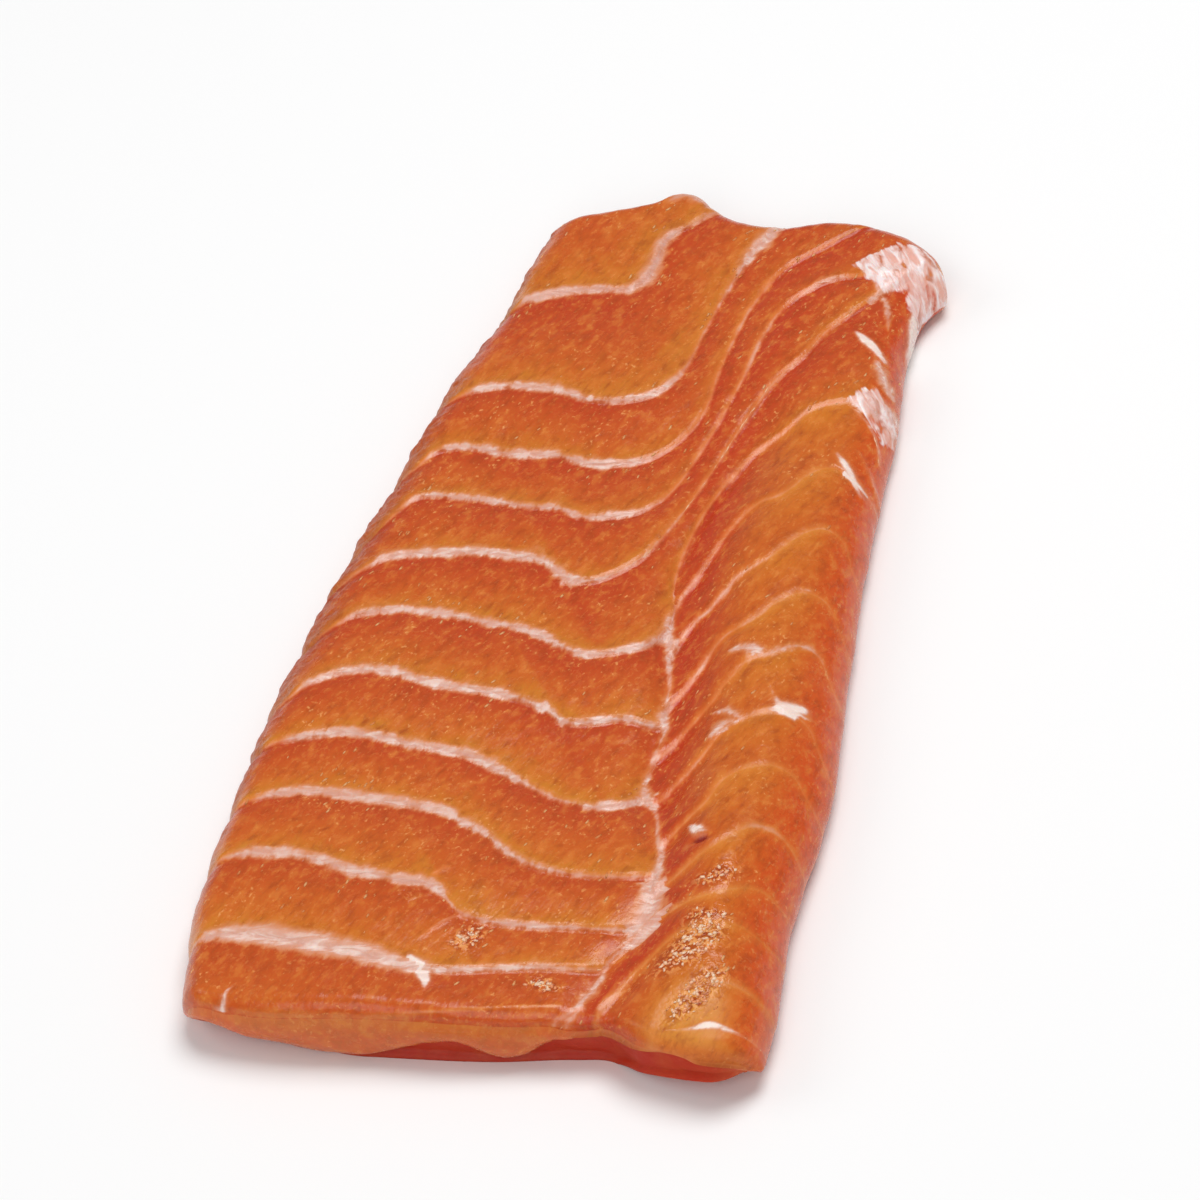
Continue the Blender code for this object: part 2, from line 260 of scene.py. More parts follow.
@dataclass(frozen=True)
class SliceForm:
    """The smooth form of the slice: its four edges in plan and the height of its top."""

    left_edge: tuple[Point, ...] = (
        (-39.0, -80.5), (-41.6, -68.0), (-42.8, -48.0), (-42.6, -24.0), (-40.6, 2.0),
        (-37.2, 26.0), (-33.6, 48.0), (-30.0, 66.0), (-27.0, 82.5),
    )
    right_edge: tuple[Point, ...] = (
        (40.2, -79.5), (40.0, -68.0), (38.4, -54.0), (39.0, -30.0), (36.4, -6.0),
        (34.2, 20.0), (32.8, 48.0), (31.6, 63.0), (32.0, 70.0), (36.0, 78.0),
    )
    front_edge: tuple[Point, ...] = (
        (-39.0, -80.5), (-31.0, -81.6), (-14.0, -80.4), (4.0, -78.8), (14.0, -77.0),
        (18.5, -76.6), (24.0, -79.6), (32.0, -81.2), (40.2, -79.5),
    )
    back_edge: tuple[Point, ...] = (
        (-27.0, 82.5), (-14.0, 87.4), (-11.2, 89.0), (-9.2, 90.8), (-6.4, 91.0), (-3.8, 88.9),
        (0.0, 86.6), (6.0, 85.6), (16.0, 87.4), (27.0, 84.6), (36.0, 78.0),
    )
    front_thickness: float = 9.6
    back_thickness: float = 8.0
    crown: Triple = (0.7, -14.0, 20.0)  # height, centre, width
    crest_inset: float = 10.5
    crest_width: float = 9.0
    crest_height: tuple[Point, ...] = (
        (-82.0, 0.6), (-68.0, 2.6), (-40.0, 3.1), (0.0, 2.8), (45.0, 1.8), (90.0, 0.8),
    )
    seam: tuple[Point, ...] = (
        (-82.0, 14.0), (-70.0, 16.8), (-57.0, 20.6), (-46.0, 18.8), (-35.0, 14.8),
        (-20.0, 14.0), (0.0, 10.7), (12.0, 9.6), (30.0, 13.0), (90.0, 22.0),
    )
    valley_depth: tuple[Point, ...] = (
        (-82.0, 0.8), (-60.0, 1.5), (-10.0, 1.7), (20.0, 1.2), (50.0, 0.5), (90.0, 0.0),
    )
    valley_widths: Point = (2.6, 6.0)  # left and right of the seam
    swell_height: float = 0.22
    swell_waves: tuple[Triple, ...] = ((0.115, 0.045, 0.4), (-0.06, 0.11, 1.9), (0.03, -0.19, 4.2))
    left_shoulder: tuple[Point, ...] = (
        (-82.0, 3.6), (-45.0, 4.2), (-15.0, 7.2), (10.0, 7.2), (40.0, 5.6), (90.0, 4.6),
    )
    right_shoulder: tuple[Point, ...] = ((-82.0, 7.0), (-50.0, 9.5), (0.0, 9.0), (50.0, 7.0), (90.0, 5.0))
    end_shoulders: Point = (2.2, 3.4)  # front and back

    def plan(self, u: Array, v: Array) -> Array:
        """The plan point at a share across and a share along the slice, between its four edges.

        Args:
            u: Shares across, from the left edge to the right.
            v: Shares along, from the front edge to the back.

        Returns:
            The plan point for each pair of shares.
        """
        left, right = Curve.along(self.left_edge), Curve.along(self.right_edge)
        front, back = Curve.along(self.front_edge), Curve.along(self.back_edge)
        across, along = u[..., None], v[..., None]
        sides = (1 - across) * left.at(v) + across * right.at(v)
        ends = (1 - along) * front.at(u) + along * back.at(u)
        near = (1 - across) * left.values[0] + across * right.values[0]
        far = (1 - across) * left.values[-1] + across * right.values[-1]
        return sides + ends - (1 - along) * near - along * far

    @staticmethod
    def edge_x(edge: tuple[Point, ...], y: Array) -> Array:
        """Where a side edge is at a place along the slice."""
        return np.interp(y, *reversed(list(zip(*edge))))

    def seam_x(self, y: Array) -> Array:
        """Where the seam's valley is at a place along the slice."""
        return Curve.profile(self.seam).at(y)

    def height(self, x: Array, y: Array) -> Array:
        """The smooth height of the top, without flakes or shoulders.

        Args:
            x: Places across.
            y: Places along.

        Returns:
            The height at each place.
        """
        front, back = min(p[1] for p in self.front_edge), max(p[1] for p in self.back_edge)
        rise = smooth_step(y, front, back)
        thickness = self.front_thickness + (self.back_thickness - self.front_thickness) * rise
        tall, centre, width = self.crown
        crown = tall * hump(x, centre, width)
        crest = Curve.profile(self.crest_height).at(y)
        crest = crest * hump(x, self.edge_x(self.right_edge, y) - self.crest_inset, self.crest_width)
        from_seam = x - self.seam_x(y)
        widths = np.where(from_seam < 0, *self.valley_widths)
        valley = Curve.profile(self.valley_depth).at(y) * np.exp(-((from_seam / widths) ** 2))
        swell = sum(np.sin(across * x + along * y + phase) for across, along, phase in self.swell_waves)
        return thickness + crown + crest - valley + self.swell_height * swell

    def put(self, seen: Array, sight: Sight, stands: float = 0.0) -> Array:
        """Move points from where they are seen to where they are on the slice.

        Args:
            seen: Plan points as they are seen.
            sight: The direction that they are seen from.
            stands: How far the points stand over the smooth form.

        Returns:
            The plan points on the slice.
        """
        placed = seen
        for _ in range(3):
            placed = seen - sight.carried(self.height(placed[..., 0], placed[..., 1]) + stands)
        return placed


class Family(Enum):
    """The families of flake lines: the angle at which none turns back, and how far the lines stand out."""

    LEFT = (35.0, 0.65)
    RIGHT = (15.0, 0.85)

    def __init__(self, angle: float, stands: float) -> None:
        """Keep the family's angle in radians, and its height over the smooth form."""
        self.turn, self.stands = math.radians(angle), stands


@dataclass(frozen=True)
class PaleLine:
    """A line or a streak of fat as it is seen: x, y and half-width at stations along it."""

    stations: tuple[Triple, ...]
    whiteness: float
    steps: int = 5  # points from one station to the next

    def path(self, form: SliceForm, sight: Sight, stands: float) -> Array:
        """The line on the slice.

        Args:
            form: The slice that it lies on.
            sight: The direction that it is seen from.
            stands: How far it stands over the smooth form.

        Returns:
            Rows of x, y and half-width.
        """
        curve = Curve.along(self.stations)
        between = np.arange((len(self.stations) - 1) * self.steps + 1) / self.steps
        smooth = curve.at(np.interp(between, np.arange(len(curve.knots)), curve.knots))
        return np.column_stack([form.put(smooth[:, :2], sight, stands), np.maximum(smooth[:, 2], 0.0)])


def pale_lines(*rows: Sequence[Any]) -> tuple[PaleLine, ...]:
    """Pale lines, each from its whiteness and its stations."""
    return tuple(PaleLine(tuple(stations), whiteness) for whiteness, *stations in rows)


LEFT_LINES = pale_lines(
    (0, (-48, -92, 0), (-10, -90, 0), (20, -88, 0)),
    (
        0.7, (-38.8, -69.9, 0.5), (-36, -68.8, 1.6), (-33, -68.3, 2.1), (-26, -68.4, 2.3),
        (-20, -69, 2.2), (-14, -69.8, 2), (-9, -70.7, 1.4), (-4, -70.7, 0.9), (2, -69.7, 0.7),
        (8, -68.8, 0.8), (12, -68.5, 0.6), (17, -68, 0.5),
    ),
    (
        0.5, (-40, -55.2, 0.4), (-37, -54, 1), (-33, -53.2, 1.2), (-28, -53.3, 1.3),
        (-22, -54.6, 1.3), (-16, -55.4, 1.2), (-10, -56, 1.1), (-8, -57.5, 0.7),
        (-6, -59.8, 0.6), (-3, -61, 0.7), (5, -61.5, 0.8), (12, -61, 0.7), (18.5, -60.5, 0.6),
    ),
    (
        0.5, (-39.5, -44.2, 0.3), (-35, -42, 1), (-30, -41.3, 1.2), (-22, -41.6, 1.3),
        (-15, -42, 1.3), (-12, -42.5, 1.2), (-8, -44.5, 0.9), (-5, -46, 0.8),
        (-2, -48.5, 0.8), (2, -50.5, 0.9), (7, -51.5, 0.7), (12, -51.5, 0.6), (19, -50.5, 0.5),
    ),
    (
        0.65, (-39.5, -32.8, 0.3), (-35, -31, 0.9), (-30, -29.5, 1.1), (-25, -29.6, 1.1),
        (-20, -30.5, 1.1), (-10, -32, 1.2), (-7, -33.5, 1.1), (-3, -35.5, 0.8), (0, -37, 0.6),
        (4, -38.5, 0.7), (8, -39, 0.8), (12, -38, 0.9), (15, -37, 0.8),
    ),
    (
        0.7, (-39.3, -22.8, 0.3), (-37, -20.5, 0.8), (-33, -18, 1), (-28, -17, 1),
        (-20, -18.5, 1.2), (-15, -19, 1.2), (-10, -19.5, 1.1), (-6, -20.3, 0.8),
        (-2, -22, 0.9), (0, -23.5, 0.8), (3, -23.5, 0.9), (8, -22, 0.8), (13.5, -23, 0.9),
    ),
    (
        0.5, (-37.5, -9.4, 0.3), (-34, -6.5, 0.8), (-30, -5.2, 0.9), (-25, -4.7, 1),
        (-15, -5.8, 1), (-10, -6.5, 0.9), (-6, -8, 1), (-3, -9.4, 0.9), (0, -10.3, 0.9),
        (5, -9, 0.8), (9, -7, 0.9), (10.8, -5, 0.8), (10.7, 0, 0.6), (9.6, 5, 0.4),
        (9.4, 10.5, 0.4), (9.8, 15.3, 0.35), (10.9, 21.4, 0.35), (12.2, 25.9, 0.45), (13.2, 28.4, 0.4),
        (15.4, 33.8, 0.4), (18.6, 38.6, 0.4), (21.5, 43.4, 0.4), (25.6, 45.5, 0.35), (29, 46.2, 0.2),
    ),
    (
        0.7, (-36, 2.8, 0.4), (-33, 5.3, 1), (-29, 6.6, 1), (-25, 7.3, 1.1), (-20, 8, 1.1),
        (-15, 7.9, 1.1), (-10, 7.3, 1.1), (-8, 5.9, 1.2), (-5.5, 4.3, 1.1), (-3.1, 4.2, 0.8),
        (0.7, 6.4, 0.6), (3.3, 9.3, 0.55), (6, 15.3, 0.45), (7.8, 21, 0.4), (10.3, 31.3, 0.4),
        (12.9, 42.8, 0.4), (14.8, 49.2, 0.4), (17.6, 54.6, 0.45), (20.2, 61.3, 0.35), (23.5, 66, 0.2),
    ),
    (
        0.52, (-34, 15, 0.3), (-32, 18, 0.7), (-25, 18.8, 0.8), (-15, 18.2, 0.8),
        (-10, 18.2, 0.8), (-7, 17, 0.7), (-3, 17.5, 0.9), (0.1, 18.5, 0.8), (3.9, 22, 0.5),
        (5.5, 25.9, 0.35), (7, 32.2, 0.4), (8.6, 40.2, 0.4), (10, 50, 0.45), (10.9, 58.8, 0.5),
        (12.9, 65.8, 0.4), (14.8, 68.6, 0.45), (18.9, 72.2, 0.8), (22, 73, 0.3),
    ),
    (
        0.5, (-33.5, 25.4, 0.3), (-31, 28.4, 0.7), (-28, 29.4, 0.8), (-20, 28.9, 1),
        (-14, 29.4, 0.8), (-9, 28.4, 1), (-7, 28.2, 1.2), (-4, 28.8, 0.9), (0.1, 30.5, 0.6),
        (2.7, 33.2, 0.45), (4.2, 35.8, 0.4), (5.4, 39, 0.4), (6.1, 50, 0.4), (7.3, 62, 0.45),
        (9, 69.5, 0.4), (11, 74, 0.3), (15, 78.5, 0.15),
    ),
    (
        0.55, (-31.5, 40, 0.3), (-28, 42, 0.9), (-25, 43, 1), (-21, 43.3, 1.2),
        (-17, 43.2, 1.2), (-12, 41.8, 0.8), (-7, 42, 0.8), (-4, 43, 0.8), (-1.5, 45, 0.8),
        (0.3, 48.5, 0.6), (1.9, 58, 0.45), (3, 66, 0.5), (4, 71, 0.6), (5, 76, 1.1),
        (6.5, 80, 1.5),
    ),
    (
        0.22, (-29, 59.8, 0.3), (-26.5, 62.3, 0.8), (-24, 63.5, 1.2), (-20, 65, 1.1),
        (-15, 66, 0.9), (-11.5, 66.5, 1.1), (-9.6, 69, 1.5), (-8.9, 74, 1.5), (-8.3, 78.5, 1.4),
        (-5.5, 82, 0.6),
    ),
    (0, (-45, 92, 0), (-24, 96, 0), (10, 101, 0)),
)
BOUNDARY_LINE = 6  # the left line that goes on beside the seam and bounds the right family

RIGHT_LINES = pale_lines(
    (0, (16, -97, 0), (30, -90, 0), (46, -88, 0)),
    (
        0.2, (24.5, -84, 0.2), (25.6, -76.9, 0.3), (26.2, -72.1, 0.4), (28.5, -68.6, 0.5),
        (32, -67.4, 0.5), (35.8, -67.6, 0.5), (39, -68.9, 0.3),
    ),
    (
        0.2, (19.5, -71, 0.3), (20.6, -68, 0.3), (22.1, -64.8, 0.35), (25.6, -58.6, 0.3),
        (31, -56.6, 0.2), (38, -59, 0.15),
    ),
    (
        0.2, (20.6, -60, 0.3), (22.7, -56.2, 0.35), (25.6, -53, 0.35), (28.8, -51.2, 0.3),
        (33.3, -49.3, 0.25), (37.5, -51, 0.2),
    ),
    (
        0.3, (20.4, -53, 0.3), (23.1, -47.8, 0.35), (24.3, -45.3, 0.35), (26.3, -42.7, 0.35),
        (28.2, -40.6, 0.4), (30.1, -38.8, 0.6), (32.6, -38.6, 0.6), (35, -39.6, 0.4), (38, -43, 0.2),
    ),
    (
        0.4, (19.2, -44.5, 0.3), (21.8, -38.3, 0.4), (23.1, -35.7, 0.4), (24.7, -30.9, 0.35),
        (26.9, -28.7, 0.35), (30.1, -27.4, 0.4), (33.3, -28.1, 0.35), (36.5, -31.5, 0.2),
    ),
    (
        0.55, (15.8, -37.8, 0.3), (17.3, -36, 0.45), (18.6, -32.8, 0.45), (19.9, -29.7, 0.5),
        (20.8, -27.1, 0.4), (22.3, -22.6, 0.4), (25.3, -19.1, 0.4), (26.9, -17.9, 0.4), (30.1, -17, 0.4),
        (33.3, -18.5, 0.35), (36, -22.6, 0.2),
    ),
    (
        0.5, (14.2, -29.6, 0.3), (16.4, -26.1, 0.5), (17.3, -23.6, 0.4), (18.6, -20.4, 0.4),
        (19.9, -16.6, 0.4), (20.5, -14, 0.35), (21.8, -10.8, 0.35), (22.9, -8.4, 0.4), (26.3, -6.4, 0.7),
        (28.2, -4.9, 0.85), (30.1, -4.4, 0.8), (32, -4.9, 0.6), (34.5, -8.8, 0.2),
    ),
    (
        0.6, (14.2, -18.5, 0.3), (15.7, -15.3, 0.4), (17, -10.5, 0.5), (17.6, -7.7, 0.5),
        (18.9, -3.8, 0.45), (20.5, -1.9, 0.5), (22.7, 1, 0.55), (24.3, 3.5, 0.4), (28.2, 6.1, 0.35),
        (31, 5.4, 0.25), (33.8, 1, 0.15),
    ),
    (
        0.62, (12.2, -8, 0.4), (14.1, -1.9, 0.5), (15.4, 0.4, 0.5), (17, 4.8, 0.6), (18.3, 8.3, 0.55),
        (19.9, 10.2, 0.5), (21.8, 12.6, 0.45), (23.7, 15.7, 0.2), (25.6, 17.9, 0.25), (28.2, 19.2, 0.3),
        (31, 18, 0.2), (33, 14, 0.15),
    ),
    (
        0.62, (10.7, -0.6, 0.5), (11.6, 4.5, 0.5), (12.4, 7.1, 0.5), (13.5, 11.5, 0.45), (14.9, 17.3, 0.4),
        (15.7, 19.5, 0.45), (17, 22, 0.4), (18.3, 23.6, 0.45), (20.2, 24.9, 0.5), (21.8, 26.8, 0.5),
        (23.4, 29.6, 0.3), (26.5, 31.6, 0.2), (30, 30, 0.15),
    ),
)

(SEAM_LINE,) = pale_lines(
    (
        0.6, (10.9, -77.8, 0.3), (14.1, -76.2, 0.7), (15.7, -73.7, 0.8), (16.7, -70.5, 0.8),
        (17, -67.3, 0.6), (18, -64.1, 0.8), (19.4, -60.5, 1.7), (20.4, -56.6, 2.6), (19.8, -52.8, 1.6),
        (19.9, -50, 1), (19.6, -47.2, 0.8), (18.6, -44, 0.6), (16.7, -38.8, 0.7), (14.9, -37, 1.3),
        (14.6, -33.5, 0.8), (14.6, -29.7, 0.6), (14.8, -24.5, 0.9), (14.1, -21.7, 1.1), (13.8, -16.6, 0.6),
        (12.4, -10.8, 0.8), (12, -7.4, 1.1), (10.7, -4.8, 0.9), (10.7, 0, 0.5),
    ),
)

STREAKS = pale_lines(
    (1, (-9.6, -69.8, 1), (-7.6, -71.4, 1.5), (-6.6, -73.2, 1), (-6.4, -74.4, 0.5)),
    (0, (-9.8, 86.4, 0.6), (-7.6, 88, 1.5), (-5, 86.6, 0.7)),
    (0.8, (-6.6, 4.4, 0.9), (-6.3, 2, 0.3)),
    (0.9, (-9.2, -66.2, 0.3), (-7, -63, 0.5), (-4.8, -60.8, 0.4)),
    (0.7, (-10.4, -54.6, 0.3), (-8.8, -52.8, 0.4)),
    (1, (-31.4, -77.4, 0.2), (-32.4, -79, 0.5), (-33, -81, 0.7), (-34.2, -80.6, 0.2)),
    (0.95, (27, -12.8, 0.2), (28, -14.8, 0.45), (29.2, -16.6, 0.9)),
    (1, (29.2, -17.3, 0.9), (30.8, -17, 1.5), (32.6, -16.7, 1)),
    (0.6, (26.3, -18.4, 0.2), (27.6, -17.9, 0.5), (29, -17.6, 0.8)),
    (0.75, (20.4, -7.4, 0.5), (21.6, -6.8, 1), (23.2, -6.5, 1.2), (24.8, -7.4, 0.6)),
    (0.6, (23, -7, 0.7), (23, -9.4, 0.3)),
    (0.85, (20.7, -19.7, 0.5), (22.2, -18.8, 1), (24.4, -20, 0.7)),
    (0.75, (21.5, -24, 0.7), (22.2, -22.2, 1.3), (23.4, -20.8, 1.1)),
    (0.95, (27.6, 5.8, 0.2), (28.5, 5.9, 0.6), (29.4, 5.7, 0.2)),
    # Painted highlight on the rim of the pit.
    (0.9, (22, -40.9, 0.5), (23.2, -41.3, 1.2), (24.8, -41.6, 0.5)),
    (0.3, (17.6, -78.5, 0.3), (18.3, -74.3, 0.5), (20.2, -71.5, 0.4)),
    # Painted highlight: the white glare along the front right rim.
    (
        0.95, (26.8, -77.4, 0.2), (29.7, -77, 0.5), (32.7, -75.8, 1), (36.8, -75.8, 0.5),
        (41, -75.2, 0.2),
    ),
    (
        0.15, (-32.4, -81.5, 0.3), (-27.8, -80.9, 0.35), (-17.6, -79.6, 0.4), (-7.5, -78.5, 0.35),
        (2.6, -77, 0.4), (12.5, -75.4, 0.35),
    ),
    (0.7, (11.1, -78.1, 0.3), (14.1, -77.3, 0.5), (15.5, -75.4, 0.6)),
    (0.35, (24.6, 71.9, 0.5), (27.6, 67, 0.9), (28.8, 62, 0.4)),
    (0.95, (31.6, 68, 0.9), (31.7, 64, 0.9), (32.1, 58.4, 0.4)),
    (0.95, (24.4, 60.4, 0.6), (26.6, 58.4, 1.2), (29.5, 55.4, 0.7)),
    (0.85, (28.6, 54.6, 0.6), (29.9, 52, 1.4), (31.6, 49.6, 0.8)),
    (0.5, (29.4, 49.2, 0.4), (31, 46.2, 1.2), (32.8, 43.6, 1.1), (33, 40.3, 0.4)),
    (0.75, (26.1, 45.6, 0.5), (28, 44.8, 1.3), (30.2, 44, 1.4)),
    (0.95, (26.2, 44.8, 0.3), (29.7, 41.8, 0.5), (32, 38.4, 0.5), (32.8, 35, 0.3)),
    (1, (26.9, 34, 0.5), (29.2, 31, 1), (31.6, 27.3, 0.5)),
    (0.7, (29.8, 35.4, 0.3), (31.8, 32.4, 0.5), (34, 28.6, 0.4)),
)

SKIN_PATCHES = (
    (
        (21.2, 74.9), (24, 78.1), (26.9, 80.6), (30.5, 80), (34.5, 77), (38, 73), (36.5, 69.5),
        (33, 66.8), (31.2, 67.6), (29.6, 70.8), (26.4, 69.6), (24.2, 71.7),
    ),
    ((26.1, 45.4), (27.6, 47.4), (29.4, 48.9), (33.2, 45.4), (33.6, 40.3), (32.4, 39.2), (29.7, 42.6)),
)


@dataclass(frozen=True)
class FlakeLine:
    """A pale line that bounds a flake, read as a height over a base turned to its family's angle."""

    base: Array
    rise: Array
    slope: Array
    turn: float

    @classmethod
    def of(cls, path: Array, turn: float) -> "FlakeLine":
        """Read a pale line over its family's base.

        Args:
            path: Rows of x, y and half-width on the slice.
            turn: The family's angle in radians.

        Returns:
            The line, carried straight on past both of its ends.
        """
        base = path[:, 0] * math.cos(turn) + path[:, 1] * math.sin(turn)
        rise = -path[:, 0] * math.sin(turn) + path[:, 1] * math.cos(turn)
        base = np.maximum.accumulate(base + np.arange(len(base)) * TINY)
        slope = np.clip(np.gradient(rise, base), -STEEPEST, STEEPEST)
        base = np.concatenate([[base[0] - FAR], base, [base[-1] + FAR]])
        rise = np.concatenate([[rise[0] - FAR * slope[0]], rise, [rise[-1] + FAR * slope[-1]]])
        return cls(base, rise, np.concatenate([slope[:1], slope, slope[-1:]]), turn)

    def behind(self, x: Array, y: Array) -> Array:
        """Measure from the line.

        Args:
            x: Places across.
            y: Places along.

        Returns:
            How far behind the line each place is, and less than zero in front of it.
        """
        base = x * math.cos(self.turn) + y * math.sin(self.turn)
        rise = -x * math.sin(self.turn) + y * math.cos(self.turn)
        slope = np.interp(base, self.base, self.slope)
        return (rise - np.interp(base, self.base, self.rise)) / np.sqrt(1 + slope**2)


@dataclass
class FlakePattern:
    """Where the flakes, their pale lines, the seam and the silvery skin lie on the slice."""

    form: SliceForm = field(default_factory=SliceForm)
    sight: Sight = field(default_factory=Sight)
    reach: float = 3.0  # how far outside a line its margin is still told
    spare: float = 2.0  # room for a line's own half-width
    thin_widths: Point = (0.45, 0.75)  # half-widths at which a line stops being thin and is broad
    meeting_y: float = -5.0  # behind this the right family is bounded by a line and not by the seam
    boundary_from: int = 60  # the boundary line's first point beside the seam
    seam_stands: float = 0.3

    def __post_init__(self) -> None:
        """Put every line on the slice."""
        left, right = Family.LEFT, Family.RIGHT
        left_paths = [line.path(self.form, self.sight, left.stands) for line in LEFT_LINES]
        right_paths = [line.path(self.form, self.sight, right.stands) for line in RIGHT_LINES]
        boundary = left_paths[BOUNDARY_LINE][self.boundary_from :]
        self.left = [FlakeLine.of(path, left.turn) for path in left_paths]
        self.right = [FlakeLine.of(path, right.turn) for path in (*right_paths, boundary)]
        self.seam = SEAM_LINE.path(self.form, self.sight, self.seam_stands)
        streaks = [line.path(self.form, self.sight, self.seam_stands) for line in STREAKS]
        paths = (*left_paths, *right_paths, self.seam, *streaks)
        whiteness = [line.whiteness for line in (*LEFT_LINES, *RIGHT_LINES, SEAM_LINE, *STREAKS)]
        bounds = [True] * (len(left_paths) + len(right_paths)) + [False] * (1 + len(streaks))
        self.paths = [row for row in zip(paths, whiteness, bounds) if row[0][0, 2] > 0]
        order = np.argsort(self.seam[:, 1])
        self.seam_y, self.seam_x = self.seam[order, 1], self.seam[order, 0]

    def is_left(self, x: Array, y: Array) -> Array:
        """Whether each place belongs to the left family."""
        by_line = self.left[BOUNDARY_LINE].behind(x, y) > 0
        return np.where(y > self.meeting_y, by_line, x < np.interp(y, self.seam_y, self.seam_x))

    @staticmethod
    def share(lines: list[FlakeLine], x: Array, y: Array) -> tuple[Array, Array]:
        """How far each place lies from the line in front of it to the line behind it.

        Args:
            lines: A family's lines, from the front to the back.
            x: Places across.
            y: Places along.

        Returns:
            Shares from 0 to 1, and the distance between the two lines.
        """
        behind = np.stack([line.behind(x, y) for line in lines])
        k = np.clip((behind > 0).sum(axis=0) - 1, 0, len(lines) - 2)[None]
        since = np.maximum(np.take_along_axis(behind, k, axis=0)[0], 0.0)
        until = np.maximum(-np.take_along_axis(behind, k + 1, axis=0)[0], 0.0)
        spacing = np.maximum(since + until, TINY)
        return since / spacing, spacing

    def flakes(self, x: Array, y: Array) -> tuple[Array, Array, Array]:
        """The flake at each place.

        Args:
            x: Places across.
            y: Places along.

        Returns:
            The share through the flake, the flake's length, and whether it is of the left family.
        """
        left = self.is_left(x, y)
        left_share, left_spacing = self.share(self.left, x, y)
        right_share, right_spacing = self.share(self.right, x, y)
        return np.where(left, left_share, right_share), np.where(left, left_spacing, right_spacing), left

    def fat(self, x: Array, y: Array) -> tuple[Array, Array, Array]:
        """The pale line at each place.

        Args:
            x: Places across, as a flat array.
            y: Places along, as a flat array.

        Returns:
            How far inside a broad line or a streak each place is, and the half-width and the whiteness of
            the nearest line. The thin lines between flakes are told by the flakes themselves.
        """
        nearest, margin = np.full(x.shape, -self.reach), np.full(x.shape, -self.reach)
        width, white = np.zeros(x.shape), np.zeros(x.shape)
        for path, whiteness, bounds_flake in self.paths:
            low = path[:, :2].min(axis=0) - self.reach - self.spare
            high = path[:, :2].max(axis=0) + self.reach + self.spare
            near = np.flatnonzero((x > low[0]) & (x < high[0]) & (y > low[1]) & (y < high[1]))
            if not len(near):
                continue
            place = np.column_stack([x[near], y[near]])
            for start, end in zip(path[:-1], path[1:]):
                run = end[:2] - start[:2]
                t = np.clip((place - start[:2]) @ run / max(run @ run, TINY), 0.0, 1.0)
                half = start[2] + t * (end[2] - start[2])
                inside = half - np.linalg.norm(place - start[:2] - t[:, None] * run, axis=1)
                better = inside > nearest[near]
                chosen = near[better]
                nearest[chosen], width[chosen], white[chosen] = inside[better], half[better], whiteness
                thin = bounds_flake * (1 - smooth_step(half, *self.thin_widths))
                margin[near] = np.maximum(margin[near], inside - self.reach * thin)
        return margin, width, white

    def fascia(self, x: Array, y: Array) -> Array:
        """How far inside the silvery skin each place is, and less than zero outside it.

        Args:
            x: Places across, as a flat array.
            y: Places along, as a flat array.

        Returns:
            The distance to the edge of the nearest patch.
        """
        signed = np.full(x.shape, -FAR)
        for patch in SKIN_PATCHES:
            corners = self.form.put(np.array(patch), self.sight)
            inside, distance = np.zeros(x.shape, bool), np.full(x.shape, FAR)
            for start, end in zip(corners, np.roll(corners, -1, axis=0)):
                run = end - start
                t = np.clip(((x - start[0]) * run[0] + (y - start[1]) * run[1]) / (run @ run), 0.0, 1.0)
                off = np.hypot(x - start[0] - t * run[0], y - start[1] - t * run[1])
                distance = np.minimum(distance, off)
                crosses = (start[1] > y) != (end[1] > y)
                at = start[0] + (y - start[1]) / (run[1] if run[1] else TINY) * run[0]
                inside ^= crosses & (x < at)
            signed = np.maximum(signed, np.where(inside, distance, -distance))
        return signed


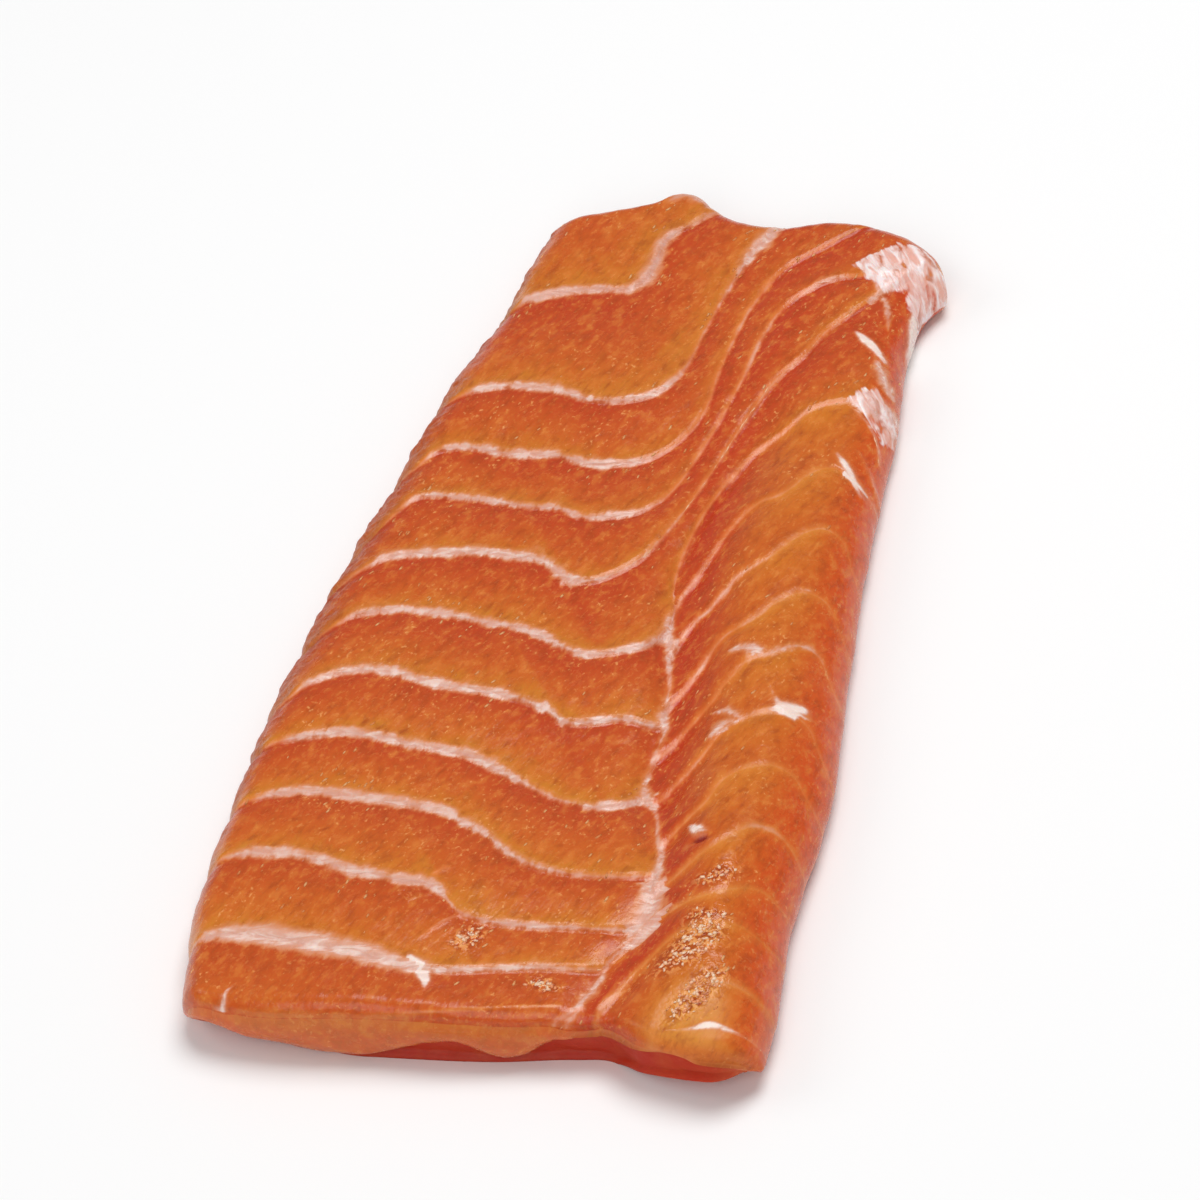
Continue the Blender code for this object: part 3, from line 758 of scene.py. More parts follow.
@dataclass(frozen=True)
class Relief:
    """What stands out of the slice's smooth form: steps, grooves, ridges and lumps, in millimetres."""

    steps: Point = (0.42, 0.95)  # how far the top drops at a line, left and right
    step_fade: float = 0.9  # share of the right step that is gone at the crest
    step_lengths: Point = (1.5, 7.0)  # lengths of a flake at which its step starts and is whole
    seam_end: float = 8.0  # the last y at which the right steps start from the seam
    edge_widths: Point = (0.5, 0.85)  # over how far a step falls on either side of its line, left and right
    shoulder_fade: float = 0.85  # share of the flakes' relief that is gone at the border
    pillow: float = 0.14
    grooves: Point = (0.2, 0.42)  # depth in front of the next line, left and right
    groove_width: float = 0.9
    lip: float = 0.1
    lip_behind: float = 0.4  # how far behind a line its lip is highest
    lip_width: float = 1.3
    fat_ridge: float = 0.12
    fat_grain: float = 0.07
    fat_pitch: float = 1.1
    lump: float = 0.06
    lump_pitch: float = 1.8
    swell: float = 0.16
    swell_pitch: float = 9.0
    fibre: float = 0.035
    fibre_pitch: Point = (0.9, 3.2)  # across and along the fibres
    wet_lump: float = 0.16
    wet_pitch: float = 1.15
    pit: float = 0.55
    fascia: float = 0.22
    fascia_pitch: float = 2.1
    shade_lump: float = 0.3
    shade_pitch: Point = (1.3, 1.0)  # across and along the left border
    shade_swell: float = 0.4
    shade_swell_pitch: Point = (2.9, 2.3)
    wall_lump: float = 0.3
    wall_pitch: float = 5.0
    wobble: float = 0.22
    wobble_pitch: float = 6.5
    scallop: float = 0.8  # how far the left border stands out between its lines
    front_lip: float = 0.9
    front_undercut: float = 1.3
    lip_foot: tuple[Point, ...] = (
        (-40.0, 0.3), (-35.0, 0.45), (-29.0, 0.78), (-22.0, 0.94), (-16.0, 0.94), (-10.0, 0.76),
        (-5.0, 0.52), (-1.0, 0.46), (2.0, 0.66), (5.0, 0.8), (8.0, 0.7), (11.0, 0.4), (16.0, 0.2),
        (22.0, 0.14), (34.0, 0.16), (41.0, 0.4),
    )  # how far down the front wall its lip reaches, along x


@dataclass(frozen=True)
class Patch:
    """A round zone of the top as it is seen: its middle, its reach each way, its turn and its strength."""

    x: float
    y: float
    reach: Point
    turn: float = 0.0
    strength: float = 1.0
    stands: float = 0.3

    def at(self, x: Array, y: Array, form: SliceForm, sight: Sight) -> Array:
        """How much each place belongs to the zone.

        Args:
            x: Places across.
            y: Places along.
            form: The slice that it lies on.
            sight: The direction that it is seen from.

        Returns:
            The zone's strength at its middle, fading to nothing outside it.
        """
        middle = form.put(np.array([self.x, self.y]), sight, self.stands)
        turn = math.radians(self.turn)
        across = (x - middle[0]) * math.cos(turn) + (y - middle[1]) * math.sin(turn)
        along = -(x - middle[0]) * math.sin(turn) + (y - middle[1]) * math.cos(turn)
        return self.strength * np.exp(-((across / self.reach[0]) ** 2) - (along / self.reach[1]) ** 2)


# Wet zones: lumpier, glossier and beaded; their pale specks are painted glints, with painted shade between
# them.
WET = (
    Patch(27.0, -61.8, (6.6, 3.0), 54.0),
    Patch(29.8, -70.4, (6.2, 2.1), 58.0),
    Patch(27.6, -49.0, (4.2, 1.8), 28.0, 0.7),
    Patch(26.5, -56.6, (3.0, 2.0), 0.0, 0.4),
    Patch(-2.6, -65.0, (3.2, 2.2), 60.0, 0.9),
    Patch(9.4, -72.0, (2.6, 1.4), -10.0, 0.9),
    Patch(-12.5, -58.2, (3.5, 2.4), 0.0, 0.4),
    Patch(22.6, -34.0, (7.0, 1.2), 62.0, 0.35),
)
PITS = (Patch(24.1, -43.1, (1.3, 0.6), 12.0),)


@dataclass
class Surface:
    """The slice's points in order, with what the relief and the colours need at each of them."""

    points: Array
    spots: Array  # where on the plan the pattern is read
    down: Array  # 0 on the top, rising to 1 at the foot of the wall
    outer: Array  # 0 on the field of the top, rising to 1 at its border
    sides: Array  # 1 at the left or the right side, 0 at the front or the back
    faces: list[tuple[int, ...]]


@dataclass
class Reading:
    """The pattern as it is read at each point of the slice."""

    share: Array  # from the line in front of a flake to the line behind it
    spacing: Array  # the flake's length
    left: Array  # whether the flake is of the left family
    margin: Array  # how far inside a pale line
    half_width: Array
    whiteness: Array
    wet: Array
    shade: Array  # how far in the rough strip along the left border


@dataclass(frozen=True)
class Sides:
    """One value for each side of the slice."""

    left: float
    right: float
    front: float
    back: float


@dataclass
class Escalope:
    """The slice itself, as one closed mesh that carries its pattern in attributes."""

    pattern: FlakePattern = field(default_factory=FlakePattern)
    relief: Relief = field(default_factory=Relief)
    columns: tuple[int, int, int] = (16, 150, 20)  # left shoulder, field, right shoulder
    rows: tuple[int, int, int] = (8, 380, 12)  # front shoulder, field, back shoulder
    wall_rows: int = 14
    side_drop: Sides = Sides(0.62, 0.66, 0.2, 0.42)
    wall_lean: Sides = Sides(0.0, 0.0, 0.8, 0.0)
    wall_tuck: Sides = Sides(1.3, 3.4, 1.2, 1.6)
    wall_slant: float = 0.45  # how far back the pattern runs as it goes down a wall
    corner_tuck: float = 6.5
    corner_from: Point = (-14.0, -62.0)
    corner_reach: Point = (24.0, 18.0)
    arch_height: float = 3.4
    arch_centre: float = 32.5
    arch_half_width: float = 13.0
    arch_depth: float = 13.0
    under_shares: tuple[float, ...] = (0.965, 0.93, 0.885, 0.82)
    cap_share: float = 0.7
    cap_step: int = 10
    headroom: float = 0.12  # left free over the highest point, for what lies on the flesh

    def arch(self, x: Array, y: Array) -> Array:
        """Arch the underside at the front right.

        Args:
            x: Places across.
            y: Places along.

        Returns:
            The height of the underside, which is zero outside the arch.
        """
        front = np.interp(x, *zip(*self.pattern.form.front_edge))
        across = np.clip(1 - ((x - self.arch_centre) / self.arch_half_width) ** 2, 0.0, 1.0)
        return self.arch_height * across * (1 - smooth_step((y - front) / self.arch_depth))

    @staticmethod
    def one_way(low_rows: int, between: int, high_rows: int) -> tuple[Array, Array, Array]:
        """The lattice's steps one way, over a shoulder, the field and the other shoulder.

        Args:
            low_rows: Steps over the first shoulder.
            between: Steps over the field.
            high_rows: Steps over the last shoulder.

        Returns:
            The side of each step, its share over the shoulder and its share over the field.
        """
        low = np.sin(np.linspace(math.pi / 2, 0, low_rows + 1))
        high = np.sin(np.linspace(0, math.pi / 2, high_rows + 1))
        side = np.concatenate([-np.ones(low_rows), np.zeros(between + 1), np.ones(high_rows)])
        shoulder = np.concatenate([low[:-1], np.zeros(between + 1), high[1:]])
        shares = np.concatenate([np.zeros(low_rows), np.linspace(0, 1, between + 1), np.ones(high_rows)])
        return side, shoulder, shares

    @staticmethod
    def place(steps: Sequence[Array], low_reach: Array, high_reach: Array, whole: Array) -> Array:
        """The distance from the low edge of each column or row, as a share of the whole.

        Args:
            steps: Side, share over the shoulder and share over the field.
            low_reach: How far the first shoulder reaches in.
            high_reach: How far the last shoulder reaches in.
            whole: The whole width or length.

        Returns:
            Shares from 0 to 1.
        """
        side, shoulder, shares = steps
        inner = low_reach + shares * (whole - low_reach - high_reach)
        low = low_reach * (1 - shoulder)
        high = whole - high_reach * (1 - shoulder)
        return np.where(side < 0, low, np.where(side > 0, high, inner)) / whole

    def top(self) -> tuple[Array, Array, Array]:
        """The top of the slice as a grid, without its flakes.

        Returns:
            Points as columns x rows x 3, the weight of the sides against the ends, and how far out
            over a shoulder each point is.
        """
        form = self.pattern.form
        side_u, shoulder_u, field_u = (row[:, None] for row in self.one_way(*self.columns))
        side_v, shoulder_v, field_v = (row[None, :] for row in self.one_way(*self.rows))
        over_u = shoulder_u * np.sqrt(1 - shoulder_v**2 / 2)
        over_v = shoulder_v * np.sqrt(1 - shoulder_u**2 / 2)

        left, right = Curve.along(form.left_edge), Curve.along(form.right_edge)
        front, back = Curve.along(form.front_edge), Curve.along(form.back_edge)
        along = (side_v, over_v, field_v)
        rough_v = self.place(along, *form.end_shoulders, back.values[0, 1] - front.values[0, 1])
        edge_y = left.at(rough_v)[..., 1]
        reaches = Curve.profile(form.left_shoulder).at(edge_y), Curve.profile(form.right_shoulder).at(edge_y)
        width = np.linalg.norm(right.at(rough_v) - left.at(rough_v), axis=-1)
        u = self.place((side_u, over_u, field_u), *reaches, width)
        length = np.linalg.norm(back.at(u) - front.at(u), axis=-1)
        v = self.place(along, *form.end_shoulders, length)

        xy = form.plan(u, v)
        outer = np.clip(np.sqrt(over_u**2 + over_v**2), 0.0, 1.0)
        sides = np.broadcast_to(over_u**2 / np.maximum(over_u**2 + over_v**2, TINY), outer.shape)
        drop_side = np.where(side_u < 0, self.side_drop.left, self.side_drop.right)
        drop_end = np.where(side_v < 0, self.side_drop.front, self.side_drop.back)
        drop = sides * drop_side + (1 - sides) * drop_end
        z = form.height(xy[..., 0], xy[..., 1]) * (1 - drop * (1 - np.sqrt(1 - outer**2)))
        return np.dstack([xy, z]), sides, outer

    @staticmethod
    def around(grid: Array) -> Array:
        """The border of a grid as one loop, counter-clockwise from above."""
        return np.concatenate([grid[:-1, 0], grid[-1, :-1], grid[:0:-1, -1], grid[0, :0:-1]])

    def walls(self, loop: Array, weight: Array) -> list[Array]:
        """Rings of points down the walls.

        Args:
            loop: The top's border.
            weight: The weight of the sides against the ends there.

        Returns:
            Rings from just under the border to the underside.
        """
        tangent = np.roll(loop, -2, axis=0) - np.roll(loop, 2, axis=0)
        outward = np.stack([tangent[:, 1], -tangent[:, 0]], axis=-1)
        outward /= np.linalg.norm(outward, axis=-1, keepdims=True)
        middle = loop[:, :2].mean(axis=0)
        right, back = loop[:, 0] > middle[0], loop[:, 1] > middle[1]

        def blend(values: Sides) -> Array:
            """A value of the wall for each point of the loop."""
            side = np.where(right, values.right, values.left)
            return weight * side + (1 - weight) * np.where(back, values.back, values.front)

        from_corner = (np.array(self.corner_from) - loop[:, :2]) / self.corner_reach
        to_corner = np.prod(smooth_step(from_corner), axis=-1)
        tuck = blend(self.wall_tuck) + self.corner_tuck * to_corner
        lean = blend(self.wall_lean) * (1 - to_corner)
        foot = self.arch(loop[:, 0], loop[:, 1])
        rings = []
        for angle in np.linspace(0, math.pi / 2, self.wall_rows + 1)[1:]:
            down = math.sin(angle)
            shift = lean * down - tuck * (1 - math.cos(angle))
            xy = loop[:, :2] + outward * shift[:, None]
            rings.append(np.column_stack([xy, foot + (loop[:, 2] - foot) * (1 - down)]))
        return rings

    def underside(self, foot: Array) -> tuple[list[Array], Array]:
        """Rings that close in under the slice.

        Args:
            foot: The last ring of the walls.

        Returns:
            The rings, and the flat cap's corners.
        """
        middle = foot[:, :2].mean(axis=0)
        rings = []
        for share in self.under_shares:
            xy = middle + (foot[:, :2] - middle) * share
            rings.append(np.column_stack([xy, self.arch(xy[:, 0], xy[:, 1])]))
        cap = middle + (foot[:: self.cap_step, :2] - middle) * self.cap_share
        return rings, np.column_stack([cap, np.zeros(len(cap))])

    def surface(self) -> Surface:
        """Every point and face of the slice, still smooth.

        Returns:
            The surface, in the slice's own millimetres.
        """
        top, sides, outer = self.top()
        columns, rows = outer.shape
        grid = np.arange(columns * rows).reshape(columns, rows)
        loop, weight = self.around(top), self.around(sides)
        walls = self.walls(loop, weight)
        under, cap = self.underside(walls[-1])

        corners = (grid[:-1, :-1], grid[1:, :-1], grid[1:, 1:], grid[:-1, 1:])
        faces = np.stack([corner.ravel() for corner in corners], axis=-1).tolist()
        upper, count = self.around(grid), columns * rows
        for _ in (*walls, *under):
            lower = np.arange(count, count + len(loop))
            before = np.roll(upper, 1), np.roll(lower, 1)
            faces += np.stack([before[0], before[1], lower, upper], axis=-1).tolist()
            upper, count = lower, count + len(loop)
        inner = np.arange(count, count + len(cap))
        for k in range(len(loop)):
            faces.append([upper[k - 1], inner[(k - 1) // self.cap_step], upper[k]])
            if k % self.cap_step == 0:
                faces.append([inner[k // self.cap_step - 1], inner[k // self.cap_step], upper[k]])
        faces.append(inner[::-1].tolist())

        rings = len(walls) + len(under)
        depth = np.concatenate([loop[:, 2] - ring[:, 2] for ring in (*walls, *under)])
        border = np.tile(loop[:, :2], (rings, 1))
        slanted = border + np.column_stack([np.zeros(len(depth)), self.wall_slant * depth])
        down = np.concatenate([np.full(len(loop), (k + 1) / len(walls)) for k in range(rings)])
        return Surface(
            points=np.concatenate([top.reshape(-1, 3), *walls, *under, cap]),
            spots=np.concatenate([top.reshape(-1, 3)[:, :2], slanted, cap[:, :2]]),
            down=np.concatenate([np.zeros(columns * rows), down, np.full(len(cap), down[-1])]),
            outer=np.concatenate([outer.ravel(), np.ones(len(down) + len(cap))]),
            sides=np.concatenate([sides.ravel(), np.tile(weight, rings), np.zeros(len(cap))]),
            faces=faces,
        )

    def flake_relief(self, surface: Surface, read: Reading) -> Array:
        """Raise the flakes: a step, a groove and a lip at each line, and a pillow between two lines.

        Args:
            surface: The smooth surface.
            read: The pattern there.

        Returns:
            Distances along the normals, in millimetres.
        """
        form, relief = self.pattern.form, self.relief
        x, y = surface.spots.T
        seam_x = form.seam_x(np.minimum(y, relief.seam_end))
        crest_x = form.edge_x(form.right_edge, y) - form.crest_inset
        fade = 1 - relief.step_fade * np.clip((x - seam_x) / (crest_x - seam_x), 0.0, 1.0)
        step = np.where(read.left, relief.steps[0], relief.steps[1] * fade)
        step = step * smooth_step(read.spacing, *relief.step_lengths)
        groove = np.where(read.left, relief.grooves[0], relief.grooves[1] * fade)
        groove = groove * hump((1 - read.share) * read.spacing, 0.0, relief.groove_width)
        lip = relief.lip * hump(read.share * read.spacing, relief.lip_behind, relief.lip_width)
        off_line = np.minimum(read.share, 1 - read.share) * read.spacing
        flake = step * (0.5 - read.share) - groove + lip
        flake = flake * smooth_step(off_line / np.where(read.left, *relief.edge_widths))
        flake = flake + relief.pillow * np.sin(math.pi * read.share)
        return flake * (1 - relief.shoulder_fade * smooth_step(surface.outer, 0.1, 0.9))

    def raised(self, surface: Surface, read: Reading) -> Array:
        """Raise the slice's relief. A number added to a noise's place only moves that pattern.

        Args:
            surface: The smooth surface.
            read: The pattern there.

        Returns:
            How far each point stands out of the smooth form along its normal, in millimetres.
        """
        form, relief = self.pattern.form, self.relief
        x, y = surface.spots.T
        noise = SmoothNoise(11)
        core = smooth_step(read.margin / np.maximum(read.half_width, 0.3), -0.2, 0.8)
        grain = noise.at(x / relief.fat_pitch + 31, y / relief.fat_pitch, 2)
        flake = self.flake_relief(surface, read) + core * (relief.fat_ridge + relief.fat_grain * grain)
        flake = flake + relief.swell * noise.at(x / relief.swell_pitch, y / relief.swell_pitch)
        flake = flake + relief.lump * noise.at(x / relief.lump_pitch + 7, y / relief.lump_pitch, 2)
        turn, (wide, long) = math.radians(FIBRE_TURN), relief.fibre_pitch
        across, along = x * math.cos(turn) - y * math.sin(turn), x * math.sin(turn) + y * math.cos(turn)
        fibres = noise.at(across / wide + 3, along / long)
        flake = flake + relief.fibre * fibres * (1 - core)
        rough = noise.at(x / relief.wet_pitch + 13, y / relief.wet_pitch + 5, 2)
        flake = flake + relief.wet_lump * np.clip(read.wet, 0, 1) * rough
        flake = flake - relief.pit * sum(pit.at(x, y, form, self.pattern.sight) for pit in PITS)
        fascia = smooth_step(self.pattern.fascia(x, y), -0.4, 1.2)
        wrinkle = noise.at(x / relief.fascia_pitch + 19, y / relief.fascia_pitch + 2, 3)
        flake = flake + fascia * relief.fascia * (0.7 + wrinkle)

        on_top = 1 - smooth_step(surface.down, 0.0, 0.35)
        bottom = 1 - smooth_step(surface.down, 0.75, 1.0)
        x3, y3, z3 = surface.points.T
        wall = noise.at((x3 + y3) / relief.wall_pitch, z3 / (0.45 * relief.wall_pitch) + 0.2 * x3, 2)
        walls = relief.wall_lump * wall * (1 - on_top) * bottom
        across, along = relief.shade_pitch
        weave = noise.at((x + y) / across, (y - x) / along, 2)
        across, along = relief.shade_swell_pitch
        weave = weave + relief.shade_swell * noise.at(x / across + 41, y / along)
        shaded = relief.shade_lump * read.shade * weave * (1 - smooth_step(surface.down, 0.5, 0.9))
        return flake * on_top + walls + shaded + self.front_lip(surface) * bottom

    def front_wall(self, surface: Surface) -> tuple[Array, Array]:
        """Find the front wall and its lip.

        Args:
            surface: The smooth surface.

        Returns:
            How much each point belongs to the front wall, and how far down the lip it is, 1 at its foot.
        """
        x, y = surface.spots.T
        belongs = (1 - surface.sides) * (y < FRONT_Y) * (surface.down > 0)
        depth = np.sin(np.minimum(surface.down, 1.0) * math.pi / 2)
        return belongs, depth / Curve.profile(self.relief.lip_foot).at(x)

    def front_lip(self, surface: Surface) -> Array:
        """Let the front wall bulge out along its top, and cut it under below.

        Args:
            surface: The smooth surface.

        Returns:
            Distances along the normals, in millimetres.
        """
        belongs, lip = self.front_wall(surface)
        bulge = self.relief.front_lip * np.sin(math.pi * np.clip(lip, 0.0, 1.0)) ** 0.8
        undercut = self.relief.front_undercut * smooth_step(lip, 0.85, 1.25)
        return (bulge - undercut) * belongs

    def seated(self, points: Array) -> Array:
        """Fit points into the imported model's box, and keep how they were fitted.

        Args:
            points: The slice's points, in millimetres.

        Returns:
            The points in metres.
        """
        room_low = np.array(CAD_LOW)
        room_high = np.array(CAD_HIGH) - np.array([0.0, 0.0, self.headroom * MM])
        self.low = points.min(axis=0)
        self.scale = (room_high - room_low) / (points.max(axis=0) - self.low)
        return room_low + (points - self.low) * self.scale

    def to_frame(self, spots: Array) -> Array:
        """Plan points in metres, as the finished mesh was fitted."""
        return np.array(CAD_LOW)[:2] + (spots - self.low[:2]) * self.scale[:2]

    def build(self) -> bpy.types.Object:
        """Make the slice's mesh and its attributes.

        Returns:
            The slice, linked to the scene.
        """
        surface = self.surface()
        x, y = surface.spots.T
        form, sight = self.pattern.form, self.pattern.sight
        wet = sum(patch.at(x, y, form, sight) for patch in WET)
        read = Reading(*self.pattern.flakes(x, y), *self.pattern.fat(x, y), wet, self.left_shade(surface))

        mesh = bpy.data.meshes.new("flesh")
        mesh.from_pydata(surface.points.tolist(), [], surface.faces)
        mesh.update()
        normals = read_all(mesh.vertex_normals, "vector")
        points = surface.points + normals * self.raised(surface, read)[:, None]
        edge = smooth_step(surface.outer, 0.2, 1.0) * surface.sides
        wobble = SmoothNoise(23).at(y / self.relief.wobble_pitch, np.sign(x) + 4.0, 2)
        points[:, 0] += self.relief.wobble * wobble * edge
        bulge = (np.sin(math.pi * read.share) ** 0.6 - 0.5) * smooth_step(read.spacing, 3.0, 8.0)
        points[:, 0] -= self.relief.scallop * bulge * edge * (x < -20)
        points[:, 2] = np.where(surface.points[:, 2] < TINY, 0.0, np.maximum(points[:, 2], 0.0))
        mesh.vertices.foreach_set("co", self.seated(points).ravel())
        mesh.shade_smooth()
        self.write_pattern(mesh, surface, read)
        return add_object("flesh", mesh)

    def write_pattern(self, mesh: bpy.types.Mesh, surface: Surface, read: Reading) -> None:
        """Store in the mesh what its colours need, three values to an attribute.

        Args:
            mesh: The slice's mesh.
            surface: The smooth surface.
            read: The pattern there.
        """
        x, y = surface.spots.T
        form, sight = self.pattern.form, self.pattern.sight
        on_wall = smooth_step(surface.down, 0.0, 0.2)
        on_top = 1 - on_wall
        on_front = self.front_wall(surface)[0] > 0.5
        under_lip_shade = self.under_lip_shade(surface)
        flank = 0.85 * smooth_step(surface.outer, 0.05, 0.75) * surface.sides * (x > 0)
        brow = 0.55 * smooth_step(surface.outer, 0.3, 1.0) * (1 - surface.sides) * (y < FRONT_Y)
        wall = np.maximum(on_wall, np.maximum(flank, brow)) - under_lip_shade
        red, ochre, turned = self.tones(x, y, read.left)
        # Painted shade: the front wall is made redder, most of all under its lip.
        red = np.maximum(red, np.maximum(under_lip_shade, 0.8 * on_front))
        fascia = smooth_step(self.pattern.fascia(x, y), -0.9, 0.9) * on_top
        pits = sum(pit.at(x, y, form, sight) for pit in PITS) * on_top
        margin = np.where(on_front, -self.pattern.reach, read.margin)
        half_width = np.where(on_front, -self.pattern.reach, read.half_width)
        angle = 2 * math.pi * read.share
        beside = np.where(read.share < 0.5, read.share, read.share - 1.0) * read.spacing
        self.write(mesh, "flake", np.cos(angle), np.sin(angle), beside)
        self.write(mesh, "fat", margin, half_width, read.whiteness)
        self.write(mesh, "tone", red, ochre, wall)
        self.write(mesh, "cover", fascia, np.clip(read.wet, 0, 1) * on_top, read.shade)
        self.write(mesh, "depth", turned, under_lip_shade, pits)

    def tones(self, x: Array, y: Array, left: Array) -> tuple[Array, Array, Array]:
        """How the flesh's colour changes, with painted shade in the valley and painted light on the crest.

        Args:
            x: Places across.
            y: Places along.
            left: Whether each place is of the left family.

        Returns:
            How red it is, with painted shade in the seam's valley; how ochre it is, with painted light on the
            crest; and how far a flake's colours, whose red is partly painted shade, are turned round: not at
            all on the left field, fully on the crest, and half between, where a flake has one colour.
        """
        form = self.pattern.form
        from_seam = x - form.seam_x(np.minimum(y, 12.0))
        # Painted shade: the seam's valley is made redder.
        valley = smooth_step(from_seam, -1.0, 1.5) * (1 - smooth_step(from_seam, 2.5, 11.0))
        amber = 0.35 * (1 - smooth_step(y, -55.0, -30.0))
        diagonal = smooth_step(y, 5.0, 30.0) * hump(x, 8.0 + 0.12 * (y - 20.0), 9.0)
        # Painted light: the crest, which faces up, and its front right end are made more ochre.
        crest = hump(x, form.edge_x(form.right_edge, y) - form.crest_inset + 1.0, 8.0)
        crest = crest * (1 - 0.7 * smooth_step(y, 40.0, 80.0))
        back = 0.25 * smooth_step(y, -50.0, 10.0)
        front = 0.3 * (1 - smooth_step(y, -75.0, -30.0))
        crest = crest + 0.8 * (1 - smooth_step(y, -78.0, -62.0)) * smooth_step(x, 14.0, 24.0)
        red = np.where(left, np.maximum(back, 0.7 * diagonal), valley)
        turned = np.where(left, 0.15 * diagonal, 0.2 + amber + (0.75 - amber) * np.minimum(crest, 1.0))
        return np.clip(red, 0.0, 1.0), np.where(left, front, crest), turned

    def left_shade(self, surface: Surface) -> Array:
        """How far each point is in the rough brown strip along the left border.

        Args:
            surface: The smooth surface.

        Returns:
            Values from 0 to 1, most where the border turns down beside the middle.
        """
        x, y = surface.spots.T
        form = self.pattern.form
        inset = x - form.edge_x(form.left_edge, y)
        reach = 1.5 + 3.6 * hump(y, 8.0, 45.0)
        rough = SmoothNoise(31).at(x / 2.4, y / 1.7, 2)
        strip = (1 - smooth_step(inset / reach + 0.35 * rough, 0.45, 1.15)) * smooth_step(y, -75.0, -30.0)
        patchy = SmoothNoise(37).at(y / 6.0, surface.points[:, 2] / 3.0, 2)
        return strip * (1 - 0.75 * smooth_step(surface.down + 0.2 * patchy, 0.05, 0.5))

    def under_lip_shade(self, surface: Surface) -> Array:
        """How much painted shade darkens the front wall under its lip, from 0 to 0.9."""
        belongs, lip = self.front_wall(surface)
        return 0.9 * smooth_step(lip, 0.92, 1.1) * belongs

    @staticmethod
    def write(mesh: bpy.types.Mesh, name: str, first: Array, second: Array, third: Array) -> None:
        """Store three values a point as one vector attribute."""
        layer = mesh.attributes.new(name, "FLOAT_VECTOR", "POINT")
        layer.data.foreach_set("vector", np.column_stack([first, second, third]).astype(np.float32).ravel())


class Value:
    """A socket that takes part in arithmetic: each sum adds its Math node."""

    def __init__(self, graph: "Graph", socket: bpy.types.NodeSocket) -> None:
        """Wrap a socket of a graph."""
        self.graph = graph
        self.socket = socket

    def __add__(self, other: "Number") -> "Value":
        """The sum with another value."""
        return self.graph.math("ADD", self, other)

    def __sub__(self, other: "Number") -> "Value":
        """The difference from another value."""
        return self.graph.math("SUBTRACT", self, other)

    def __mul__(self, other: "Number") -> "Value":
        """The product with another value."""
        return self.graph.math("MULTIPLY", self, other)

    def __truediv__(self, other: "Number") -> "Value":
        """The quotient by another value."""
        return self.graph.math("DIVIDE", self, other)

    def __rsub__(self, other: "Number") -> "Value":
        """Another value less this one."""
        return self.graph.math("SUBTRACT", other, self)

    __radd__ = __add__
    __rmul__ = __mul__

    def step(self, low: "Number", high: "Number") -> "Value":
        """Rise evenly from 0 to 1.

        Args:
            low: Where the rise starts.
            high: Where it ends.

        Returns:
            Values from 0 to 1.
        """
        node = self.graph.node(
            "ShaderNodeMapRange",
            {"interpolation_type": "SMOOTHSTEP"},
            {"Value": self, "From Min": low, "From Max": high},
        )
        return Value(self.graph, node.outputs["Result"])


Number = Value | float


